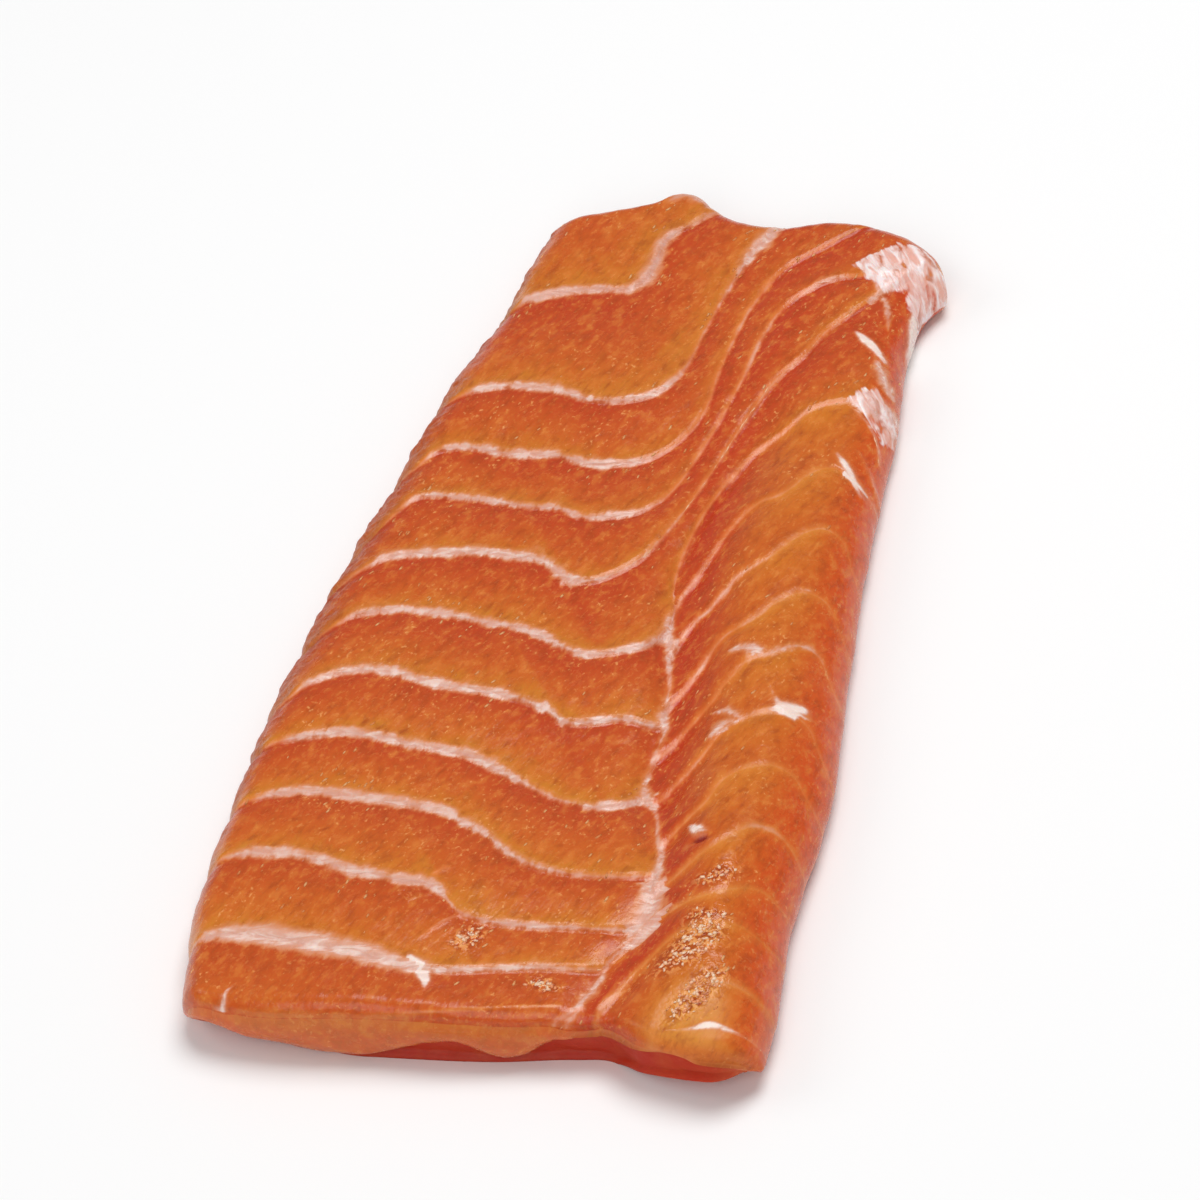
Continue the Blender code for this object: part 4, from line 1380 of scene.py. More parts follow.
class Graph:
    """A node tree that is filled by expressions."""

    def __init__(self, tree: bpy.types.NodeTree) -> None:
        """Start with the tree that is given."""
        self.tree = tree

    def node(
        self, kind: str, settings: dict[str, Any] | None = None, inputs: dict[str, Any] | None = None
    ) -> bpy.types.Node:
        """Add a node.

        Args:
            kind: The node's type.
            settings: The node's own settings, which are set first. A ramp's stops are one of them.
            inputs: Values or links for its sockets, by identifier or name.

        Returns:
            The new node.
        """
        made = self.tree.nodes.new(kind)
        made.location = (220.0 * (len(self.tree.nodes) % 12), -260.0 * (len(self.tree.nodes) // 12))
        for name, value in (settings or {}).items():
            if name == "stops":
                self.set_stops(made.color_ramp, value)
            else:
                setattr(made, name, value)
        for key, value in (inputs or {}).items():
            self.feed(next(each for each in made.inputs if key in (each.identifier, each.name)), value)
        return made

    def feed(self, socket: bpy.types.NodeSocket, value: Any) -> None:
        """Link a socket, or set it.

        Args:
            socket: The socket that takes the value.
            value: A value or a socket to link, or else a number, a vector or a colour.
        """
        if isinstance(value, Value):
            self.tree.links.new(value.socket, socket)
        elif isinstance(value, bpy.types.NodeSocket):
            self.tree.links.new(value, socket)
        else:
            socket.default_value = value

    @staticmethod
    def set_stops(ramp: bpy.types.ColorRamp, stops: Sequence[tuple[float, Colour]]) -> None:
        """Give a ramp its stops.

        Args:
            ramp: The ramp.
            stops: Places from 0 to 1, with their colours.
        """
        while len(ramp.elements) < len(stops):
            ramp.elements.new(1.0)
        for element, (position, colour) in zip(ramp.elements, stops):
            element.position = position
            element.color = colour

    def math(self, operation: str, first: Number, second: Number = 0.0) -> Value:
        """One Math node."""
        node = self.node("ShaderNodeMath", {"operation": operation}, {"Value": first, "Value_001": second})
        return Value(self, node.outputs["Value"])

    def mix(self, share: Number, first: Any, second: Any) -> Value:
        """Mix two colours.

        Args:
            share: How much of the second colour is taken.
            first: The first colour.
            second: The second colour.

        Returns:
            The mixed colour.
        """
        node = self.node(
            "ShaderNodeMix",
            {"data_type": "RGBA", "clamp_factor": True},
            {"Factor_Float": share, "A_Color": first, "B_Color": second},
        )
        return Value(self, node.outputs[MIXED_COLOUR])

    def ramp(self, share: Number, stops: Sequence[tuple[float, Colour]]) -> Value:
        """A colour read from a ramp."""
        node = self.node("ShaderNodeValToRGB", {"stops": stops}, {"Fac": share})
        return Value(self, node.outputs["Color"])

    def parts(self, name: str) -> tuple[Value, Value, Value]:
        """Read a vector attribute.

        Args:
            name: The attribute's name.

        Returns:
            The three values that it holds.
        """
        stored = self.node("ShaderNodeAttribute", {"attribute_name": name})
        split = self.node("ShaderNodeSeparateXYZ", None, {"Vector": stored.outputs["Vector"]})
        x, y, z = (Value(self, output) for output in split.outputs)
        return x, y, z

    def noise(
        self, size: Triple, turn: float = 0.0, shift: float = 0.0,
        detail: float = 2.0, distortion: float = 0.0,
    ) -> Value:
        """Noise on Object coordinates.

        Args:
            size: The size of its grains in millimetres each way.
            turn: How far the grains are turned about z, in degrees.
            shift: How far the pattern is moved, so that two of one size differ.
            detail: Finer layers.
            distortion: How much it is warped.

        Returns:
            Values from 0 to 1, mostly near a half.
        """
        place = self.node("ShaderNodeTexCoord").outputs["Object"]
        mapped = self.node(
            "ShaderNodeMapping",
            {"vector_type": "TEXTURE"},
            {
                "Vector": place,
                "Location": (shift, shift, shift),
                "Rotation": (0.0, 0.0, math.radians(-turn)),
                "Scale": tuple(width * MM for width in size),
            },
        )
        node = self.node(
            "ShaderNodeTexNoise",
            None,
            {"Vector": mapped.outputs["Vector"], "Scale": 1.0, "Detail": detail, "Distortion": distortion},
        )
        return Value(self, node.outputs["Fac"])


def new_material(name: str) -> tuple[bpy.types.Material, Graph, bpy.types.Node]:
    """A material with an empty shader.

    Args:
        name: The material's name.

    Returns:
        The material, its graph and its shader.
    """
    material = bpy.data.materials.new(name)
    material.use_nodes = True
    graph = Graph(material.node_tree)
    return material, graph, material.node_tree.nodes["Principled BSDF"]


@dataclass(frozen=True)
class FleshFinish:
    """Raw salmon: flakes that run from amber to red, partly painted shade, between bands of fat; wet and a
    little translucent.
    """

    # From amber behind a line to red in front of the next; the red is partly painted shade toward the groove.
    flake_and_shade_stops: tuple[tuple[float, Colour], ...] = (
        (0.0, tint(205, 128, 38)),
        (0.12, tint(204, 115, 34)),
        (0.32, tint(201, 97, 30)),
        (0.62, tint(197, 83, 28)),
        (0.86, tint(190, 72, 25)),
        (1.0, tint(187, 65, 28)),
    )
    # The flesh's deep red, also used as painted shade in the valley and on the front wall.
    deep_red_and_shade: Colour = tint(186, 40, 18)
    ochre: Colour = tint(206, 114, 30)
    light: Colour = tint(224, 136, 58)
    dark: Colour = tint(158, 60, 14)
    # Pale specks of fat, also used for painted glints in the wet zones.
    speck_and_glint: Colour = tint(242, 172, 106)
    band: Colour = tint(216, 154, 132)
    band_edge: Colour = tint(216, 134, 84)
    band_thin: Colour = tint(230, 128, 62)
    band_amber: Colour = tint(220, 136, 58)
    band_white: Colour = tint(246, 226, 216)
    skin: Colour = tint(232, 178, 164)
    skin_white: Colour = tint(250, 240, 240)
    skin_brown: Colour = tint(176, 104, 80)
    amber: Colour = tint(214, 140, 44)
    shade: Colour = tint(160, 70, 38)
    # Painted highlights: pale dots on the bumps of the rough left strip.
    strip_highlight: Colour = tint(208, 122, 80)
    pit: Colour = tint(140, 36, 20)
    wall: Colour = tint(214, 74, 18)
    # Painted shade under the front lip.
    under: Colour = tint(180, 18, 16)
    roughness: float = 0.25
    specular: float = 0.35
    bump_strength: float = 0.7
    bump_depth: float = 0.12
    translucence: float = 0.12
    light_radii: Triple = (1.0, 0.35, 0.18)
    light_reach: float = 1.6

    def material(self) -> bpy.types.Material:
        """The finish as a material.

        Returns:
            A new material.
        """
        material, graph, shader = new_material("flesh")
        cosine, sine, beside = graph.parts("flake")
        margin, half_width, whiteness = graph.parts("fat")
        red, ochre, wall = graph.parts("tone")
        fascia, wet, shade = graph.parts("cover")
        turned, under_lip_shade, pit = graph.parts("depth")

        since = graph.math("ARCTAN2", sine, cosine) / (2 * math.pi)
        share = graph.math("FRACT", since + 1.0)
        by_line = cosine.step(0.0, 0.3)
        off_line = graph.math("ABSOLUTE", beside)
        margin = graph.math("MAXIMUM", margin, half_width - off_line - (1.0 - by_line) * 4.0)
        slow = graph.noise((3.2, 3.2, 3.2), detail=3.0)
        broad = graph.noise((11.0, 9.0, 9.0), shift=0.3, detail=2.0)
        flame = graph.noise((1.7, 7.0, 2.0), FIBRE_TURN, shift=0.4, detail=2.0, distortion=0.3)
        mottle = graph.noise((1.5, 2.6, 1.5), FIBRE_TURN, shift=0.2, detail=4.0, distortion=0.2)
        fibre = graph.noise((0.6, 3.2, 0.9), FIBRE_TURN, shift=0.7, detail=3.0, distortion=0.5)
        grain = graph.noise((0.55, 0.8, 0.55), FIBRE_TURN, shift=0.1, detail=2.0, distortion=0.4)
        threads = graph.noise((1.0, 4.2, 1.0), 80.0, shift=0.5, detail=3.0, distortion=0.9)
        clots = graph.noise((0.7, 0.8, 0.7), FIBRE_TURN, shift=0.9, detail=1.0, distortion=0.6)

        own = share + turned * (1.0 - share * 2.0)
        wander = (slow - 0.5) * 0.22 + (flame - 0.5) * 0.38 + (mottle - 0.5) * 0.3
        near_line = graph.math("MINIMUM", share, 1.0 - share).step(0.0, 0.16)
        # The flake ramp's red, in front of the next line, is partly painted shade.
        flesh = graph.ramp(own + wander * near_line, self.flake_and_shade_stops)
        # Painted light: the ochre tone yellows the crest and its front right end; at the front of the left
        # field it is the flesh's own tone.
        flesh = graph.mix(ochre * (0.75 - own * 0.4), flesh, self.ochre)
        flesh = graph.mix(ochre.step(1.0, 1.8) * 0.7, flesh, self.amber)
        flesh = graph.mix(wall * 0.85, flesh, self.wall)
        # The red tone is painted shade in the seam's valley, on the front wall and under its lip, and
        # elsewhere the flesh's own redder parts.
        flesh = graph.mix(red * (own * 0.5 + 0.45), flesh, self.deep_red_and_shade)
        lit = mottle.step(0.5, 0.72) * 0.42 + grain.step(0.5, 0.75) * 0.32 + broad.step(0.5, 0.75) * 0.08
        flesh = graph.mix(lit, flesh, self.light)
        soaked = wet.step(0.2, 0.7)
        # Darker patches: random mottling, and painted shade between the painted glints in the wet zones.
        patchy = (1.0 - mottle).step(0.5, 0.72) * 0.42 + (1.0 - clots).step(0.48, 0.58) * soaked * 0.65
        dim = patchy + (1.0 - fibre).step(0.5, 0.75) * 0.3
        flesh = graph.mix(dim, flesh, self.dark)
        # Pale specks: sparse flecks of fat over the flesh, and dense painted glints in the wet zones.
        sparse = broad.step(0.46, 0.62) * 0.7 + 0.06 + wet * 0.8
        speck_and_glint = grain.step(0.6, 0.68) * clots.step(0.48, 0.58) * sparse
        speck_and_glint = graph.math("MAXIMUM", speck_and_glint, clots.step(0.52, 0.6) * soaked)
        flesh = graph.mix(speck_and_glint * 0.7, flesh, self.speck_and_glint)

        golden = graph.math("MINIMUM", ochre, 1.0)
        halo = (1.0 - off_line / 1.7).step(0.0, 1.0) * by_line * golden * 0.4
        flesh = graph.mix(halo, flesh, self.band_amber)

        behind = sine.step(-0.25, 0.25)
        wide = half_width.step(0.4, 0.85)
        stray = (fibre - 0.5) * wide * 0.7 + (mottle - 0.5) * (wide * 1.6 + 0.2) + (slow - 0.5) * (wide + 0.3)
        stray = stray * (1.0 - whiteness.step(0.85, 0.98) * 0.75)
        ragged = margin + stray - wide * 0.1 - 0.08
        full = wide * 0.59 + (1.0 - wide) * half_width * 0.9
        edge = ragged.step(behind * -0.3 - wide * 0.2 - 0.14, full)
        core = (ragged / graph.math("MAXIMUM", half_width, 0.3)).step(0.0, 0.85)
        strand = graph.math("MAXIMUM", threads.step(0.4, 0.68) * wide, mottle.step(0.42, 0.62) * (1.0 - wide))
        thin = graph.mix(whiteness.step(0.15, 0.5) * (1.0 - golden * 0.6), self.band_amber, self.band_thin)
        pale = graph.mix(wide, thin, graph.mix(core, self.band_edge, self.band))
        crisp = (1.0 - golden) * half_width.step(0.38, 0.55) * (0.4 + strand * 0.5)
        strength = whiteness * (0.26 + crisp * (1.0 - wide) + wide * 0.9) * (1.15 - behind * 0.35)
        bright = strand * 0.7 + 0.25 + whiteness.step(0.85, 0.98)
        white = graph.math("MINIMUM", bright * core * strength, 1.0)
        fat_colour = graph.mix(white, pale, self.band_white)
        calm = 1.0 - golden * 0.3 - wall * 0.4
        cover = edge * (0.65 + wide * 0.22 + strand * 0.13) * (wide + (1.0 - wide) * calm)
        colour = graph.mix(cover, flesh, fat_colour)

        wrinkle = graph.noise((1.0, 4.6, 3.0), -34.0, shift=0.2, detail=3.0, distortion=0.8)
        folds = graph.noise((2.2, 4.0, 3.0), -30.0, shift=0.6, detail=2.0, distortion=0.8)
        skin = graph.mix(wrinkle.step(0.36, 0.64) * folds.step(0.26, 0.6), self.skin, self.skin_white)
        skin = graph.mix((1.0 - folds).step(0.52, 0.68) * 0.6, skin, self.skin_brown)
        torn = fascia + (wrinkle - 0.5) * 1.6 + (folds - 0.5) * 2.0 - 0.1
        colour = graph.mix(torn.step(0.2, 0.75) * fascia.step(0.05, 0.4) * 0.9, colour, skin)
        colour = graph.mix(shade * (0.25 + fibre * 0.5), colour, self.shade)
        # Painted highlights: pale dots on the rough left strip.
        strip_highlight_dots = clots.step(0.5, 0.62) * shade.step(0.45, 0.9) * slow * 0.5
        colour = graph.mix(strip_highlight_dots, colour, self.strip_highlight)
        # Painted shade under the front lip.
        colour = graph.mix(under_lip_shade * (0.75 + slow * 0.3), colour, self.under)
        colour = graph.mix(pit.step(0.25, 0.8), colour, self.pit)
        graph.feed(shader.inputs["Base Color"], colour)

        rough = self.roughness + (slow - 0.5) * 0.25 + (grain - 0.5) * 0.2 - wet * 0.14 + shade * 0.12
        rough = rough + ochre.step(1.0, 1.8) * (0.28 - wet * 0.2) + under_lip_shade * 0.35
        graph.feed(shader.inputs["Roughness"], rough)
        height = (fibre - 0.5) * 0.5 + (grain - 0.5) * 0.6 + cover * (strand * wide + 0.2) * 0.5
        height = height + (wet + shade * 0.6) * (clots - 0.5) * 5.0 + fascia * (wrinkle - 0.5) * 3.0
        bumps = {"Strength": self.bump_strength, "Distance": self.bump_depth * MM, "Height": height}
        graph.feed(shader.inputs["Normal"], graph.node("ShaderNodeBump", None, bumps).outputs["Normal"])
        shader.inputs["Subsurface Weight"].default_value = self.translucence
        shader.inputs["Subsurface Radius"].default_value = self.light_radii
        shader.inputs["Subsurface Scale"].default_value = self.light_reach * MM
        shader.inputs["Specular IOR Level"].default_value = self.specular
        return material


@dataclass(frozen=True)
class FatFinish:
    """What lies on the flesh: fat threads along its lines, flecks between them and wet beads with painted
    glints.
    """

    name: str
    pale: Colour
    bright: Colour
    roughness: float = 0.3
    bump_strength: float = 0.5
    bump_depth: float = 0.05
    translucence: float = 0.2
    light_radii: Triple = (1.0, 0.6, 0.5)
    light_reach: float = 0.8

    def material(self) -> bpy.types.Material:
        """The finish as a material.

        Returns:
            A new material.
        """
        material, graph, shader = new_material(self.name)
        mottle = graph.noise((1.6, 1.6, 1.6), detail=3.0)
        graph.feed(shader.inputs["Base Color"], graph.mix(mottle.step(0.4, 0.6), self.pale, self.bright))
        graph.feed(shader.inputs["Roughness"], self.roughness + (mottle - 0.5) * 0.2)
        fine = graph.noise((0.25, 0.25, 0.25), detail=2.0)
        bumps = {"Strength": self.bump_strength, "Distance": self.bump_depth * MM, "Height": fine}
        graph.feed(shader.inputs["Normal"], graph.node("ShaderNodeBump", None, bumps).outputs["Normal"])
        shader.inputs["Subsurface Weight"].default_value = self.translucence
        shader.inputs["Subsurface Radius"].default_value = self.light_radii
        shader.inputs["Subsurface Scale"].default_value = self.light_reach * MM
        return material


class NodeModifier:
    """A Geometry Nodes tree with named inputs, applied to an object as a plain mesh."""

    def __init__(self, name: str, inputs: dict[str, tuple[str, Any]]) -> None:
        """Start a tree.

        Args:
            name: The tree's name.
            inputs: Socket type and value of each named input.
        """
        self.tree = bpy.data.node_groups.new(name, "GeometryNodeTree")
        self.tree.interface.new_socket("Geometry", in_out="INPUT", socket_type="NodeSocketGeometry")
        self.tree.interface.new_socket("Geometry", in_out="OUTPUT", socket_type="NodeSocketGeometry")
        self.values = {}
        for label, (kind, value) in inputs.items():
            socket = self.tree.interface.new_socket(label, in_out="INPUT", socket_type=kind)
            self.values[socket.identifier] = value
        self.graph = Graph(self.tree)
        self.start = self.graph.node("NodeGroupInput")

    def given(self, label: str) -> Value:
        """One of the tree's inputs."""
        return Value(self.graph, self.start.outputs[label])

    def close(self, geometry: bpy.types.NodeSocket) -> None:
        """End the tree with real geometry and its material.

        Args:
            geometry: What the tree has made.
        """
        real = self.graph.node("GeometryNodeRealizeInstances", None, {"Geometry": geometry})
        smooth = self.graph.node("GeometryNodeSetShadeSmooth", None, {"Geometry": real.outputs[0]})
        finish = {"Geometry": smooth.outputs[0], "Material": self.given("Material")}
        dressed = self.graph.node("GeometryNodeSetMaterial", None, finish)
        self.graph.node("NodeGroupOutput", None, {"Geometry": dressed.outputs[0]})

    def applied(self, source: bpy.types.Object, name: str) -> bpy.types.Object:
        """Run the tree on an object.

        Args:
            source: The object that it works on.
            name: Name of the new piece.

        Returns:
            A new object with a plain mesh.
        """
        modifier = source.modifiers.new(name, "NODES")
        modifier.node_group = self.tree
        for identifier, value in self.values.items():
            modifier[identifier] = value
        bpy.context.view_layer.update()
        evaluated = source.evaluated_get(bpy.context.evaluated_depsgraph_get())
        mesh = bpy.data.meshes.new_from_object(evaluated)
        source.modifiers.remove(modifier)
        mesh.name = name
        return add_object(name, mesh)


class Ground:
    """The finished flesh, for finding its surface under a plan point."""

    def __init__(self, flesh: bpy.types.Object) -> None:
        """Build the search tree of the flesh's mesh.

        Args:
            flesh: The slice, with its relief.
        """
        places = [vertex.co for vertex in flesh.data.vertices]
        self.tree = BVHTree.FromPolygons(places, [face.vertices for face in flesh.data.polygons])

    def on_top(self, x: float, y: float) -> tuple[Vector, Vector] | None:
        """The surface's place and normal over a plan point given in metres."""
        place, normal, _, _ = self.tree.ray_cast(Vector((x, y, 0.1)), Vector((0.0, 0.0, -1.0)))
        return None if place is None else (place, normal)


@dataclass
class Strands:
    """Thin uneven threads that follow lines on the flesh and surface here and there."""

    escalope: Escalope
    name: str
    finish: FatFinish
    paths: Sequence[Array]
    radius: float = 0.16
    sunk: float = 0.12
    stray: float = 0.08
    spacing: float = 0.9
    widest: float = 0.66  # a line is left bare where its half-width is over this
    lump: float = 2.6  # length of a thread's thick and thin stretches
    thinnest: float = 0.6  # share of the radius that a thin stretch has
    sides: int = 6
    seed: int = 5

    def guides(self, ground: Ground) -> bpy.types.Object:
        """Lay guides along every line.

        Args:
            ground: The flesh's surface.

        Returns:
            A curve object with a spline for each stretch.
        """
        curve = bpy.data.curves.new(self.name, "CURVE")
        curve.dimensions = "3D"
        random = np.random.default_rng(self.seed)
        for path in self.paths:
            chords = np.linalg.norm(np.diff(path[:, :2], axis=0), axis=1)
            length = np.concatenate([[0.0], np.cumsum(chords)])
            where = np.arange(0.0, length[-1], self.spacing)
            spots = np.column_stack([np.interp(where, length, path[:, k]) for k in range(3)])
            stray = random.normal(0.0, self.stray, (len(spots), 2)) * spots[:, 2:]
            seated = self.escalope.to_frame(spots[:, :2] + stray)
            places = []
            for spot, half_width in zip(seated, spots[:, 2]):
                found = ground.on_top(*spot) if half_width < self.widest else None
                if found is not None:
                    places.append(found[0] - found[1] * self.sunk * MM)
                    continue
                self.add_spline(curve, places)
                places = []
            self.add_spline(curve, places)
        return add_object(f"{self.name}_guides", curve)

    @staticmethod
    def add_spline(curve: bpy.types.Curve, places: list[Vector]) -> None:
        """Add a spline through some places, if they are enough for one.

        Args:
            curve: The curve that takes it.
            places: Points in metres.
        """
        if len(places) < 3:
            return
        spline = curve.splines.new("POLY")
        spline.points.add(len(places) - 1)
        for point, place in zip(spline.points, places):
            point.co = (*place, 1.0)

    def sweep(self, material: bpy.types.Material) -> NodeModifier:
        """The tree that turns guides into threads of uneven thickness.

        Args:
            material: The threads' finish.

        Returns:
            The tree.
        """
        modifier = NodeModifier(
            self.name,
            {
                "Radius": ("NodeSocketFloat", self.radius * MM),
                "Lump Size": ("NodeSocketFloat", self.lump * MM),
                "Sides": ("NodeSocketInt", self.sides),
                "Material": ("NodeSocketMaterial", material),
            },
        )
        graph = modifier.graph
        place = Value(graph, graph.node("GeometryNodeInputPosition").outputs["Position"])
        grains = graph.node(
            "ShaderNodeVectorMath",
            {"operation": "DIVIDE"},
            {"Vector": place, "Vector_001": modifier.given("Lump Size")},
        )
        fine = {"Vector": grains.outputs[0], "Scale": 1.0, "Detail": 2.0}
        noise = graph.node("ShaderNodeTexNoise", None, fine)
        thick = Value(graph, noise.outputs["Fac"]).step(0.42, 0.66)
        profile = graph.node(
            "GeometryNodeCurvePrimitiveCircle",
            None,
            {"Resolution": modifier.given("Sides"), "Radius": modifier.given("Radius")},
        )
        swept = graph.node(
            "GeometryNodeCurveToMesh",
            None,
            {
                "Curve": modifier.given("Geometry"),
                "Profile Curve": profile.outputs["Curve"],
                "Scale": thick * (1.0 - self.thinnest) + self.thinnest,
                "Fill Caps": True,
            },
        )
        modifier.close(swept.outputs["Mesh"])
        return modifier

    def build(self, ground: Ground) -> bpy.types.Object:
        """Make the threads.

        Args:
            ground: The flesh's surface.

        Returns:
            The threads as one mesh.
        """
        guides = self.guides(ground)
        piece = self.sweep(self.finish.material()).applied(guides, self.name)
        bpy.data.objects.remove(guides)
        return piece


class Spread(Enum):
    """Where scattered grains lie: sparsely over the flesh beside its lines, or crowded where it is wet."""

    FIELD = "field"
    WET = "wet"


@dataclass
class Grains:
    """Small grains half sunk in the flesh: fat flecks along its fibres, or wet beads coloured as painted
    glints.
    """

    name: str
    spread: Spread
    number: int
    size: Triple
    finish: FatFinish
    swerve: float = 0.3  # how far a grain may turn from its angle, in radians
    turn: float = FIBRE_TURN
    cluster: float = 8.0
    scales: Point = (0.35, 1.15)  # the smallest and the largest grain
    seed: int = 9

    def likelihood(self, flesh: bpy.types.Object) -> Array:
        """How likely a grain is at each point of the flesh, from the pattern stored there.

        Args:
            flesh: The slice.

        Returns:
            A share for each of the slice's points.
        """
        layers = flesh.data.attributes
        fat, tone, cover, depth = (
            read_all(layers[name].data, "vector") for name in ("fat", "tone", "cover", "depth")
        )
        margin, (skin, wet, shade) = fat[:, 0], cover.T
        x, y, _ = read_all(flesh.data.vertices, "co").T / (self.cluster * MM)
        crowd = smooth_step(SmoothNoise(41).at(x + 50, y + 50, 2), 0.1, 0.55)
        # The walls, and the painted shade under the front lip, take no grains.
        on_wall = np.clip(tone[:, 2] + depth[:, 1], 0.0, 1.0)
        top = (1 - on_wall) * (1 - skin) * (1 - np.clip(shade, 0.0, 1.0))
        if self.spread is Spread.WET:
            return smooth_step(wet, 0.35, 0.9) * top
        edge = hump(margin, -0.7, 0.9)
        smooth = 1 - 0.8 * np.clip(tone[:, :2].max(axis=1), 0.0, 1.0)
        # Flecks also crowd into the wet zones, where their pale colour adds to the painted glints.
        likely = (0.02 + crowd * (0.25 + edge)) * smooth + 0.6 * np.clip(wet, 0.0, 1.0)
        return likely * (margin < -0.2) * top

    def scatter(self, material: bpy.types.Material, density: float) -> NodeModifier:
        """The tree that lays grains on the flesh.

        Args:
            material: The grains' finish.
            density: Grains a square metre where they are likeliest.

        Returns:
            The tree.
        """
        modifier = NodeModifier(
            self.name,
            {
                "Density": ("NodeSocketFloat", density),
                "Size": ("NodeSocketVector", tuple(width * MM / 2 for width in self.size)),
                "Turn": ("NodeSocketFloat", math.radians(-self.turn)),
                "Seed": ("NodeSocketInt", self.seed),
                "Material": ("NodeSocketMaterial", material),
            },
        )
        graph = modifier.graph
        likely = graph.node("GeometryNodeInputNamedAttribute", {"data_type": "FLOAT"}, {"Name": LIKELIHOOD})
        spread = graph.node(
            "GeometryNodeDistributePointsOnFaces",
            {"distribute_method": "RANDOM"},
            {
                "Mesh": modifier.given("Geometry"),
                "Density": modifier.given("Density") * Value(graph, likely.outputs["Attribute"]),
                "Seed": modifier.given("Seed"),
            },
        )
        stray = graph.node(
            "FunctionNodeRandomValue",
            {"data_type": "FLOAT"},
            {"Min_001": -self.swerve, "Max_001": self.swerve, "Seed": modifier.given("Seed")},
        )
        spin = graph.node(
            "FunctionNodeAxisAngleToRotation",
            None,
            {"Axis": (0.0, 0.0, 1.0), "Angle": modifier.given("Turn") + Value(graph, stray.outputs[1])},
        )
        upright = graph.node(
            "FunctionNodeAlignRotationToVector",
            {"axis": "Z"},
            {"Rotation": spin.outputs[0], "Vector": spread.outputs["Normal"]},
        )
        scale = graph.node(
            "FunctionNodeRandomValue",
            {"data_type": "FLOAT"},
            {"Min_001": self.scales[0], "Max_001": self.scales[1], "Seed": 3},
        )
        sized = graph.node(
            "ShaderNodeVectorMath",
            {"operation": "SCALE"},
            {"Vector": modifier.given("Size"), "Scale": Value(graph, scale.outputs[1])},
        )
        grain = graph.node("GeometryNodeMeshIcoSphere", None, {"Radius": 1.0, "Subdivisions": 1})
        placed = graph.node(
            "GeometryNodeInstanceOnPoints",
            None,
            {
                "Points": spread.outputs["Points"],
                "Instance": grain.outputs["Mesh"],
                "Rotation": upright.outputs[0],
                "Scale": sized.outputs[0],
            },
        )
        modifier.close(placed.outputs["Instances"])
        return modifier

    def build(self, flesh: bpy.types.Object) -> bpy.types.Object:
        """Scatter the grains over the flesh.

        Args:
            flesh: The slice.

        Returns:
            The grains as one mesh.
        """
        likely = self.likelihood(flesh)
        layer = flesh.data.attributes.new(LIKELIHOOD, "FLOAT", "POINT")
        layer.data.foreach_set("value", likely.astype(np.float32))
        areas = read_all(flesh.data.polygons, "area", 1).ravel()
        shares = [likely[list(face.vertices)].mean() for face in flesh.data.polygons]
        density = self.number / float(areas @ np.array(shares))
        piece = self.scatter(self.finish.material(), density).applied(flesh, self.name)
        flesh.data.attributes.remove(flesh.data.attributes[LIKELIHOOD])
        return piece


@dataclass(frozen=True)
class Softbox:
    """A soft white light that is aimed at the slice: where it stands, its size and its power."""

    name: str
    azimuth: float
    elevation: float
    distance: float
    size: float
    power: float


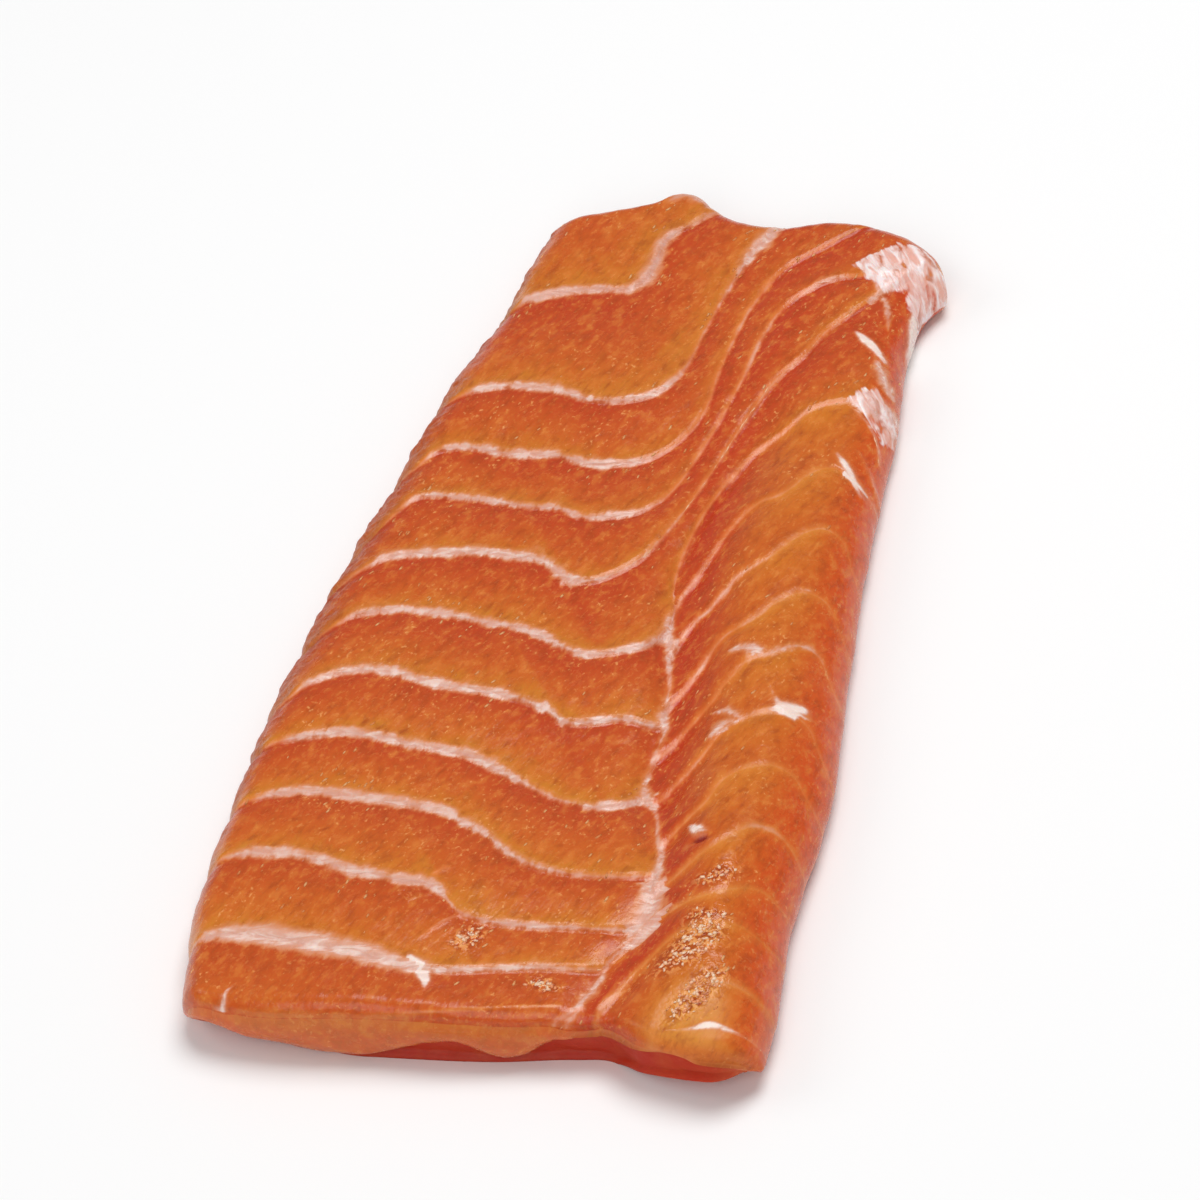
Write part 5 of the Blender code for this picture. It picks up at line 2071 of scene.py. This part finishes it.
@dataclass
class Studio:
    """A plain pale floor, soft lights and the camera."""

    sight: Sight = field(default_factory=Sight)
    aim: Triple = (0.0, 0.0, 5.0)
    lens: float = 175.0
    sensor: float = 36.0
    sees: Point = (0.01, 20.0)  # nearest and farthest, in metres
    floor_size: float = 6.0
    floor_colour: Colour = tint(246, 246, 246)
    sky: Colour = (0.3, 0.3, 0.3, 1.0)
    lights: tuple[Softbox, ...] = (
        Softbox("key", 150.0, 74.0, 1.1, 0.7, 7.6),
        Softbox("fill", 5.0, 40.0, 1.4, 1.0, 5.2),
        Softbox("side", -80.0, 40.0, 1.2, 0.6, 1.6),
    )

    @staticmethod
    def toward(azimuth: float, elevation: float) -> Vector:
        """The direction out to a place that is seen at an azimuth and an elevation."""
        turn, rise = math.radians(azimuth), math.radians(elevation)
        return Vector((math.sin(turn) * math.cos(rise), -math.cos(turn) * math.cos(rise), math.sin(rise)))

    def camera(self) -> None:
        """Set up the camera at the photograph's viewing angle."""
        aim = Vector(self.aim) * MM
        out = self.toward(self.sight.azimuth, self.sight.elevation)
        level = Vector((0.0, 0.0, 1.0)).cross(out).normalized()
        upward = out.cross(level)
        roll = math.radians(self.sight.roll)
        right = level * math.cos(roll) - upward * math.sin(roll)
        upright = out.cross(right)
        data = bpy.data.cameras.new("camera")
        data.lens = self.lens
        data.sensor_width = self.sensor
        data.clip_start, data.clip_end = self.sees
        camera = add_object("camera", data)
        turned = Matrix((right, upright, out)).transposed().to_4x4()
        turned.translation = aim + out * self.sight.distance * MM
        camera.matrix_world = turned
        bpy.context.scene.camera = camera

    def light(self, box: Softbox) -> None:
        """Set up one soft light.

        Args:
            box: The light.
        """
        data = bpy.data.lights.new(box.name, "AREA")
        data.shape = "DISK"
        data.size = box.size
        data.energy = box.power
        lamp = add_object(box.name, data)
        out = self.toward(box.azimuth, box.elevation)
        lamp.matrix_world = (
            Matrix.Translation(out * box.distance) @ out.to_track_quat("Z", "Y").to_matrix().to_4x4()
        )

    def floor(self) -> None:
        """Lay the floor under the object."""
        half = self.floor_size / 2
        corners = [(-half, -half, 0.0), (half, -half, 0.0), (half, half, 0.0), (-half, half, 0.0)]
        mesh = bpy.data.meshes.new("floor")
        mesh.from_pydata(corners, [], [(0, 1, 2, 3)])
        floor = add_object("floor", mesh)
        material, _, shader = new_material("floor")
        shader.inputs["Base Color"].default_value = self.floor_colour
        shader.inputs["Roughness"].default_value = 0.9
        shader.inputs["Specular IOR Level"].default_value = 0.1
        mesh.materials.append(material)

    def build(self) -> None:
        """Set up the floor, the sky, the lights and the camera."""
        world = bpy.data.worlds.new("studio")
        world.use_nodes = True
        world.node_tree.nodes["Background"].inputs["Color"].default_value = self.sky
        bpy.context.scene.world = world
        bpy.context.scene.view_settings.view_transform = "Standard"
        for box in self.lights:
            self.light(box)
        self.floor()
        self.camera()


def report(piece: bpy.types.Object) -> None:
    """Log a piece and its number of triangles."""
    triangles = sum(len(face.vertices) - 2 for face in piece.data.polygons)
    LOG.info("%s: %d triangles", piece.name, triangles)


def main() -> None:
    """Build the slice, its fat and the studio."""
    logging.basicConfig(level=logging.INFO, format="%(name)s: %(message)s")
    escalope = Escalope()
    flesh = escalope.build()
    flesh.data.materials.append(FleshFinish().material())
    ground = Ground(flesh)
    fat = FatFinish("fat_thread", tint(228, 136, 80), tint(246, 190, 146))
    paths = [path for path, white, _ in escalope.pattern.paths if white > THREAD_WHITENESS]
    threads = Strands(escalope, "fat_threads", fat, paths).build(ground)
    fleck = FatFinish("fat_fleck", tint(222, 124, 60), tint(236, 168, 110), 0.5)
    flecks = Grains("fat_flecks", Spread.FIELD, 400, (0.36, 1.15, 0.12), fleck).build(flesh)
    # Wet beads: small real lumps whose pale colours are painted glints.
    bead = FatFinish("wet_glint_bead", tint(232, 142, 92), tint(250, 206, 172), 0.26)
    beads = Grains("wet_glint_beads", Spread.WET, 260, (0.5, 0.85, 0.3), bead, 1.2, 30.0, seed=14).build(flesh)
    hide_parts("escalope")
    for piece in (flesh, threads, flecks, beads):
        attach(piece, "root")
        report(piece)
    Studio().build()


if __name__ == "__main__":
    main()
